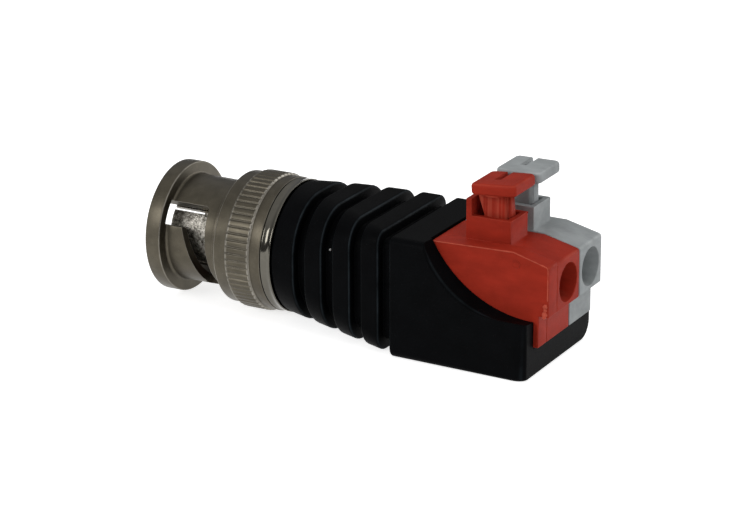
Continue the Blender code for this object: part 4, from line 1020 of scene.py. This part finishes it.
def build_button(name, lean_deg, material):
    """Give a button's stem and foot, taken from the CAD node, a cap with soft corners."""
    y = sum(corner.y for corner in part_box(name)) / 2
    far = y + CAP_WIDTH / 2
    above = box_tool("above_tool", (CAP_X - 3 * MM, y - 5 * MM, CAP_Z - 0.02 * MM),
                     (CAP_X + CAP_LENGTH + 3 * MM, y + 5 * MM, CAP_Z + 4 * MM))
    corner = (NOTCH_X + NOTCH_WIDTH, far + MM, CAP_Z + 3 * MM)
    notch = box_tool("notch_tool", (NOTCH_X, far - NOTCH_DEPTH, CAP_Z + CAP_THICKNESS / 2), corner)
    opening = box_tool("opening_tool", (NOTCH_X, y + OPENING_Y, CAP_Z - MM), corner)
    cap = button_cap(y)
    swelling = cap_swelling(y)
    pivot = Matrix.Translation((LEAN_X, 0.0, LEAN_Z))
    lean = pivot @ Matrix.Rotation(-math.radians(lean_deg), 4, 'Y') @ pivot.inverted()
    tools = (above, notch, opening, cap, swelling)
    for tool in tools:
        tool.data.transform(lean)
    piece = new_piece(name + "_skin", cad_shape(name), material, NODES[name]["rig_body"])
    join_shells(cut(piece, [above]), [cut(cap, [notch, opening]), swelling])
    settle(piece, 50.0)
    even_normals(piece)
    remove_tools(*tools)
    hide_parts(name)
    return piece


# Moulding marks

# Places as (x from the mouth, z) in millimetres, and for the gate stub the size of each lump
COVER_EDGE = ((34.42, 13.01), (43.77, 13.29), (47.50, 12.27), (47.64, 12.12), (47.69, 11.90),
              (47.69, 8.6))
GATE_LUMPS = ((47.46, 8.00, 1.0), (47.46, 7.62, 0.8), (47.40, 7.16, 1.2), (47.34, 6.86, 0.9))
EJECTOR_PLACE = (44.1, 12.01)
STRAND_STEP = 0.14 * MM


def uneven(point, size, seed):
    """A repeatable value of about -1 to 1 that changes over this size."""
    return noise.noise(Vector(point) / size + Vector((seed, 0.0, 0.0)))


def strand(name, points, radius, material, seed, sides=6):
    """An uneven thread of plastic along a line."""
    steps = []
    for a, b in zip(points, points[1:]):
        a, b = Vector(a), Vector(b)
        count = max(2, round((b - a).length / STRAND_STEP))
        steps += [a.lerp(b, i / count) for i in range(count)]
    steps.append(Vector(points[-1]))
    shape = bmesh.new()
    rings = []
    for i, point in enumerate(steps):
        along = (steps[min(i + 1, len(steps) - 1)] - steps[max(i - 1, 0)]).normalized()
        side = along.cross(Vector((0.0, 1.0, 0.0))).normalized()
        up = side.cross(along)
        size = radius * (0.62 + 0.38 * uneven(point, 0.55 * MM, seed))
        if i in (0, len(steps) - 1):
            size *= 0.3
        rings.append([shape.verts.new(point + (side * math.cos(t) + up * math.sin(t)) * size)
                      for t in (2 * math.pi * k / sides for k in range(sides))])
    bridge(shape, rings)
    piece = new_piece(name, shape, material)
    smooth(piece.data)
    return piece


def lump(name, place, radius, material, seed=3.0):
    """A small uneven blob of plastic, half sunk in the surface under it."""
    shape = bmesh.new()
    bmesh.ops.create_icosphere(shape, subdivisions=3, radius=1.0)
    for vert in shape.verts:
        size = 1.0 + 0.30 * noise.noise(vert.co * 1.3 + Vector((seed, 0.0, 0.0)))
        vert.co = vert.co * radius * size + Vector(place)
    piece = new_piece(name, shape, material)
    smooth(piece.data)
    return piece


def build_cover_burr(marks, material):
    """The pale thread along the cover's near edge, over its top and down its nose."""
    inner = 0.5 * marks.burr_width
    points = [(SLEEVE_LOW.x + x * MM, COVER_LOW.y + 0.3 * inner, z * MM - 0.4 * inner)
              for x, z in COVER_EDGE]
    strand("cover_burr", points, inner, material, 1.7)


def build_gate_stub(marks, material):
    """Broken lumps at the low corner of the cover's nose."""
    for number, (x, z, size) in enumerate(GATE_LUMPS):
        place = (SLEEVE_LOW.x + x * MM, COVER_LOW.y + 0.03 * MM, z * MM)
        piece = lump("gate_stub_%d" % (number + 1), place, marks.gate_radius * size, material,
                     5.0 + number)


def build_ejector_ring(marks, material):
    """A faint round mark on the cover's flat side."""
    center = Vector(from_mouth(EJECTOR_PLACE[0], 0.0, EJECTOR_PLACE[1]))
    center.y = COVER_LOW.y
    angles = [2 * math.pi * i / 36 for i in range(37)]
    points = [center + Vector((math.cos(angle), 0.0, math.sin(angle))) * marks.ejector_radius
              for angle in angles]
    strand("ejector_ring", points, 0.06 * MM, material, 9.0)


# Stage, light and camera

CAMERA_PLACE = (0.14614, -0.26480, 0.11488)
CAMERA_AZIMUTH_DEG = 28.79
CAMERA_DOWN_DEG = 19.66
CAMERA_ROLL_DEG = 0.16
FLOOR_Z = -0.00002


def seen_share(finish):
    """1 for rays that show the background, straight or in metal and glass."""
    path = finish.node("ShaderNodeLightPath").outputs
    total = finish.math('MAXIMUM', path["Is Camera Ray"], path["Is Glossy Ray"])
    return finish.math('MAXIMUM', total, path["Is Transmission Ray"])


def build_floor(stage):
    shape = bmesh.new()
    half = stage.floor_width / 2
    corners = ((-half, -half), (half, -half), (half, half), (-half, half))
    shape.faces.new([shape.verts.new((x, y, FLOOR_Z)) for x, y in corners])
    floor = as_object("floor", shape)
    finish = Finish("floor_paper")
    fibre = finish.noise(0.6 * MM, 3.0, 0.6)
    tone = finish.mix(fibre, scaled(stage.floor_color, 0.985), stage.floor_color)
    finish.surface(tone, 0.9, specular=0.0)
    glow = finish.math('MULTIPLY', seen_share(finish), stage.floor_glow)
    finish.put(finish.shader.inputs["Emission Color"], (1.0, 1.0, 1.0))
    finish.put(finish.shader.inputs["Emission Strength"], glow)
    floor.data.materials.append(finish.material)


def build_world(stage):
    """A room that is dim near the horizon and lighter overhead; the camera sees plain white."""
    world = bpy.data.worlds.new("studio")
    bpy.context.scene.world = world
    world.use_nodes = True
    nodes = NodeTree(world.node_tree)
    direction = nodes.node("ShaderNodeTexCoord").outputs["Generated"]
    height = nodes.node("ShaderNodeSeparateXYZ", {0: direction}).outputs["Z"]
    level = nodes.spread(height, 0.10, 0.80, stage.world_low, stage.world_high)
    white = (1.0, 1.0, 1.0)
    room, plain = (nodes.node("ShaderNodeBackground", {"Color": white, "Strength": strength})
                   for strength in (level, 1.0))
    seen = nodes.node("ShaderNodeLightPath").outputs["Is Camera Ray"]
    mixed = nodes.node("ShaderNodeMixShader", {0: seen, 1: room.outputs[0], 2: plain.outputs[0]})
    nodes.node("ShaderNodeOutputWorld", {"Surface": mixed.outputs[0]})


def add_light(name, place, width, height, power):
    """A soft rectangular light that points at the middle of the object."""
    data = bpy.data.lights.new(name, 'AREA')
    data.shape = 'RECTANGLE'
    data.size = width
    data.size_y = height
    data.energy = power
    light = new_object(name, data)
    light.location = place
    towards = Vector((0.0, 0.0, AXIS_Z)) - Vector(place)
    light.rotation_euler = towards.to_track_quat('-Z', 'Y').to_euler()


def build_lights(stage):
    add_light("side_softbox", (-0.45, -1.00, 0.52), 0.62, 0.44, stage.key_power)
    add_light("end_softbox", (1.05, -0.10, 0.45), 0.90, 0.70, stage.end_power)
    add_light("back_softbox", (0.62, 1.00, 0.26), 0.70, 0.40, stage.back_power)


def build_camera(stage):
    """Camera at the photo's place and angle."""
    azimuth, elevation, roll = (math.radians(angle) for angle in
                                (CAMERA_AZIMUTH_DEG, CAMERA_DOWN_DEG, CAMERA_ROLL_DEG))
    right = Vector((math.cos(azimuth), math.sin(azimuth), 0.0))
    back = Vector((math.sin(azimuth) * math.cos(elevation),
                   -math.cos(azimuth) * math.cos(elevation), math.sin(elevation)))
    up = back.cross(right)
    turned_right = right * math.cos(roll) - up * math.sin(roll)
    turned_up = right * math.sin(roll) + up * math.cos(roll)
    data = bpy.data.cameras.new("camera")
    data.sensor_width = 36.0
    data.lens = stage.focal_length
    data.clip_start = 0.01
    camera = new_object("camera", data)
    facing = Matrix((turned_right, turned_up, back)).transposed().to_4x4()
    camera.matrix_world = Matrix.Translation(CAMERA_PLACE) @ facing
    bpy.context.scene.camera = camera


# Operators

class ADAPTER_OT_build_coupling(bpy.types.Operator):
    """Turn the coupling sleeve with its fine knurl and cut the two bayonet slots"""
    bl_idname = "adapter.build_coupling"
    bl_label = "Build coupling"

    def execute(self, context):
        settings = context.scene.adapter_marks
        nickel = satin_nickel(context.scene.adapter_metal)
        sleeve = new_piece("coupling_skin", coupling_shape(settings), nickel, "coupling")
        tools = [slot_tool(turn) for turn in (0.0, 180.0)]
        settle(cut(sleeve, tools), 24.0)
        remove_tools(*tools)
        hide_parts("coupling_sleeve")
        return {'FINISHED'}


class ADAPTER_OT_finish_metal(bpy.types.Operator):
    """Plate the plug body and the collar, and finish the metal parts inside them"""
    bl_idname = "adapter.finish_metal"
    bl_label = "Finish metal parts"

    def execute(self, context):
        metal = context.scene.adapter_metal
        body = stand_in("plug_body", cad_shape("plug_body"), rough_nickel(metal), smooth_deg=28.0)
        collar = stand_in("rear_collar", collar_shape(), polished_nickel(metal), smooth_deg=60.0)
        steel = plain_metal("spring_steel", metal.steel_color, 0.30, 0.05 * MM)
        dress(steel, "wave_washer", "retaining_ring")
        build_clamp_spring("red", steel)
        build_clamp_spring("grey", steel)
        tin = plain_metal("tinned_brass", metal.tin_color, 0.34, 0.07 * MM)
        dress(tin, "thrust_washer", "red_contact", "grey_contact")
        dress(plain_metal("gold_plate", metal.gold_color, 0.22, 0.04 * MM), "centre_pin")
        return {'FINISHED'}


class ADAPTER_OT_finish_inner_plastic(bpy.types.Operator):
    """Finish the insulator, the gasket and the two short wires"""
    bl_idname = "adapter.finish_inner_plastic"
    bl_label = "Finish insulator, gasket and wires"

    def execute(self, context):
        plastic = context.scene.adapter_plastic
        dress(moulded("insulator_white", plastic.insulator_color, 0.50), "insulator")
        dress(moulded("gasket_silicone", plastic.gasket_color, 0.66, 0.2 * MM), "gasket")
        dress(moulded("signal_sleeve", plastic.wire_red, 0.45), "signal_wire")
        dress(moulded("ground_sleeve", plastic.wire_black, 0.45), "ground_wire")
        return {'FINISHED'}


class ADAPTER_OT_finish_housing(bpy.types.Operator):
    """Give the ribbed housing its fine satin black"""
    bl_idname = "adapter.finish_housing"
    bl_label = "Finish housing"

    def execute(self, context):
        plastic = context.scene.adapter_plastic
        tools = housing_tools()
        housing = stand_in("housing", housing_shape(), housing_black(plastic), tools, 40.0)
        remove_tools(*tools)
        return {'FINISHED'}


class ADAPTER_OT_finish_terminals(bpy.types.Operator):
    """Give the terminals, the side cover and the buttons their red and grey plastic"""
    bl_idname = "adapter.finish_terminals"
    bl_label = "Finish terminals and buttons"

    def execute(self, context):
        plastic = context.scene.adapter_plastic
        red = terminal_plastic("terminal_red", plastic.red_color, plastic.red_pale, plastic)
        grey = terminal_plastic("terminal_grey", plastic.grey_color, plastic.grey_pale, plastic)
        red_stem = terminal_plastic("button_red", plastic.red_color, plastic.red_pale, plastic,
                                    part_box("red_button")[1].z - STREAKS_FROM_TOP)
        for name, material, slot in (("red_terminal_shell", red, "red_plastic"),
                                     ("red_side_cover", red, "red_plastic"),
                                     ("grey_terminal_shell", grey, "grey_plastic")):
            shape = cad_shape(name)
            soften(shape, 0.8 * plastic.edge_round)
            stand_in(name, shape, material)
        build_button("red_button", RED_LEAN_DEG, red_stem)
        build_button("grey_button", GREY_LEAN_DEG, grey)
        return {'FINISHED'}


class ADAPTER_OT_build_marks(bpy.types.Operator):
    """Add the moulding marks: burr, gate stub and ejector ring on the cover, and small specks"""
    bl_idname = "adapter.build_marks"
    bl_label = "Build moulding marks"

    def execute(self, context):
        marks = context.scene.adapter_marks
        plastic = context.scene.adapter_plastic
        burr = terminal_plastic("burr_red", plastic.red_pale, (0.55, 0.15, 0.11), plastic)
        red = bpy.data.materials["terminal_red"]
        build_cover_burr(marks, burr)
        build_gate_stub(marks, burr)
        build_ejector_ring(marks, red)
        corner = (GUIDE_HIGH.x - 5.5 * MM, 0.45 * MM, GUIDE_HIGH.z - 1.9 * MM)
        lump("guide_burr", corner, 0.09 * MM, red)
        speck = moulded("speck_pale", (0.30, 0.30, 0.29), 0.5)
        lump("housing_speck", from_mouth(23.20, -7.30, 10.60), 0.13 * MM, speck)
        return {'FINISHED'}


class ADAPTER_OT_build_stage(bpy.types.Operator):
    """Lay the pale floor, set the soft lights and place the camera"""
    bl_idname = "adapter.build_stage"
    bl_label = "Build stage"

    def execute(self, context):
        stage = context.scene.adapter_stage
        build_floor(stage)
        build_world(stage)
        build_lights(stage)
        build_camera(stage)
        context.scene.view_settings.view_transform = 'Standard'
        return {'FINISHED'}


# Panel, registration and main

STEPS = (
    ADAPTER_OT_build_coupling,
    ADAPTER_OT_finish_metal,
    ADAPTER_OT_finish_inner_plastic,
    ADAPTER_OT_finish_housing,
    ADAPTER_OT_finish_terminals,
    ADAPTER_OT_build_marks,
    ADAPTER_OT_build_stage,
)
GROUPS = {
    "adapter_metal": MetalSettings,
    "adapter_plastic": PlasticSettings,
    "adapter_marks": MarkSettings,
    "adapter_stage": StageSettings,
}


class ADAPTER_PT_panel(bpy.types.Panel):
    """Pieces and finishes of the adapter"""
    bl_label = "Push Terminal Adapter"
    bl_idname = "ADAPTER_PT_panel"
    bl_space_type = 'VIEW_3D'
    bl_region_type = 'UI'
    bl_category = "Adapter"

    def draw(self, context):
        for step in STEPS:
            self.layout.operator(step.bl_idname)
        for name, kind in GROUPS.items():
            box = self.layout.box()
            for setting in kind.__annotations__:
                box.prop(getattr(context.scene, name), setting)


CLASSES = (*GROUPS.values(), *STEPS, ADAPTER_PT_panel)


def register():
    for item in CLASSES:
        bpy.utils.register_class(item)
    for name, kind in GROUPS.items():
        setattr(bpy.types.Scene, name, PointerProperty(type=kind))


def unregister():
    for name in GROUPS:
        delattr(bpy.types.Scene, name)
    for item in reversed(CLASSES):
        bpy.utils.unregister_class(item)


def main():
    register()
    for step in STEPS:
        getattr(bpy.ops.adapter, step.bl_idname.split(".")[1])()


if __name__ == "__main__":
    main()
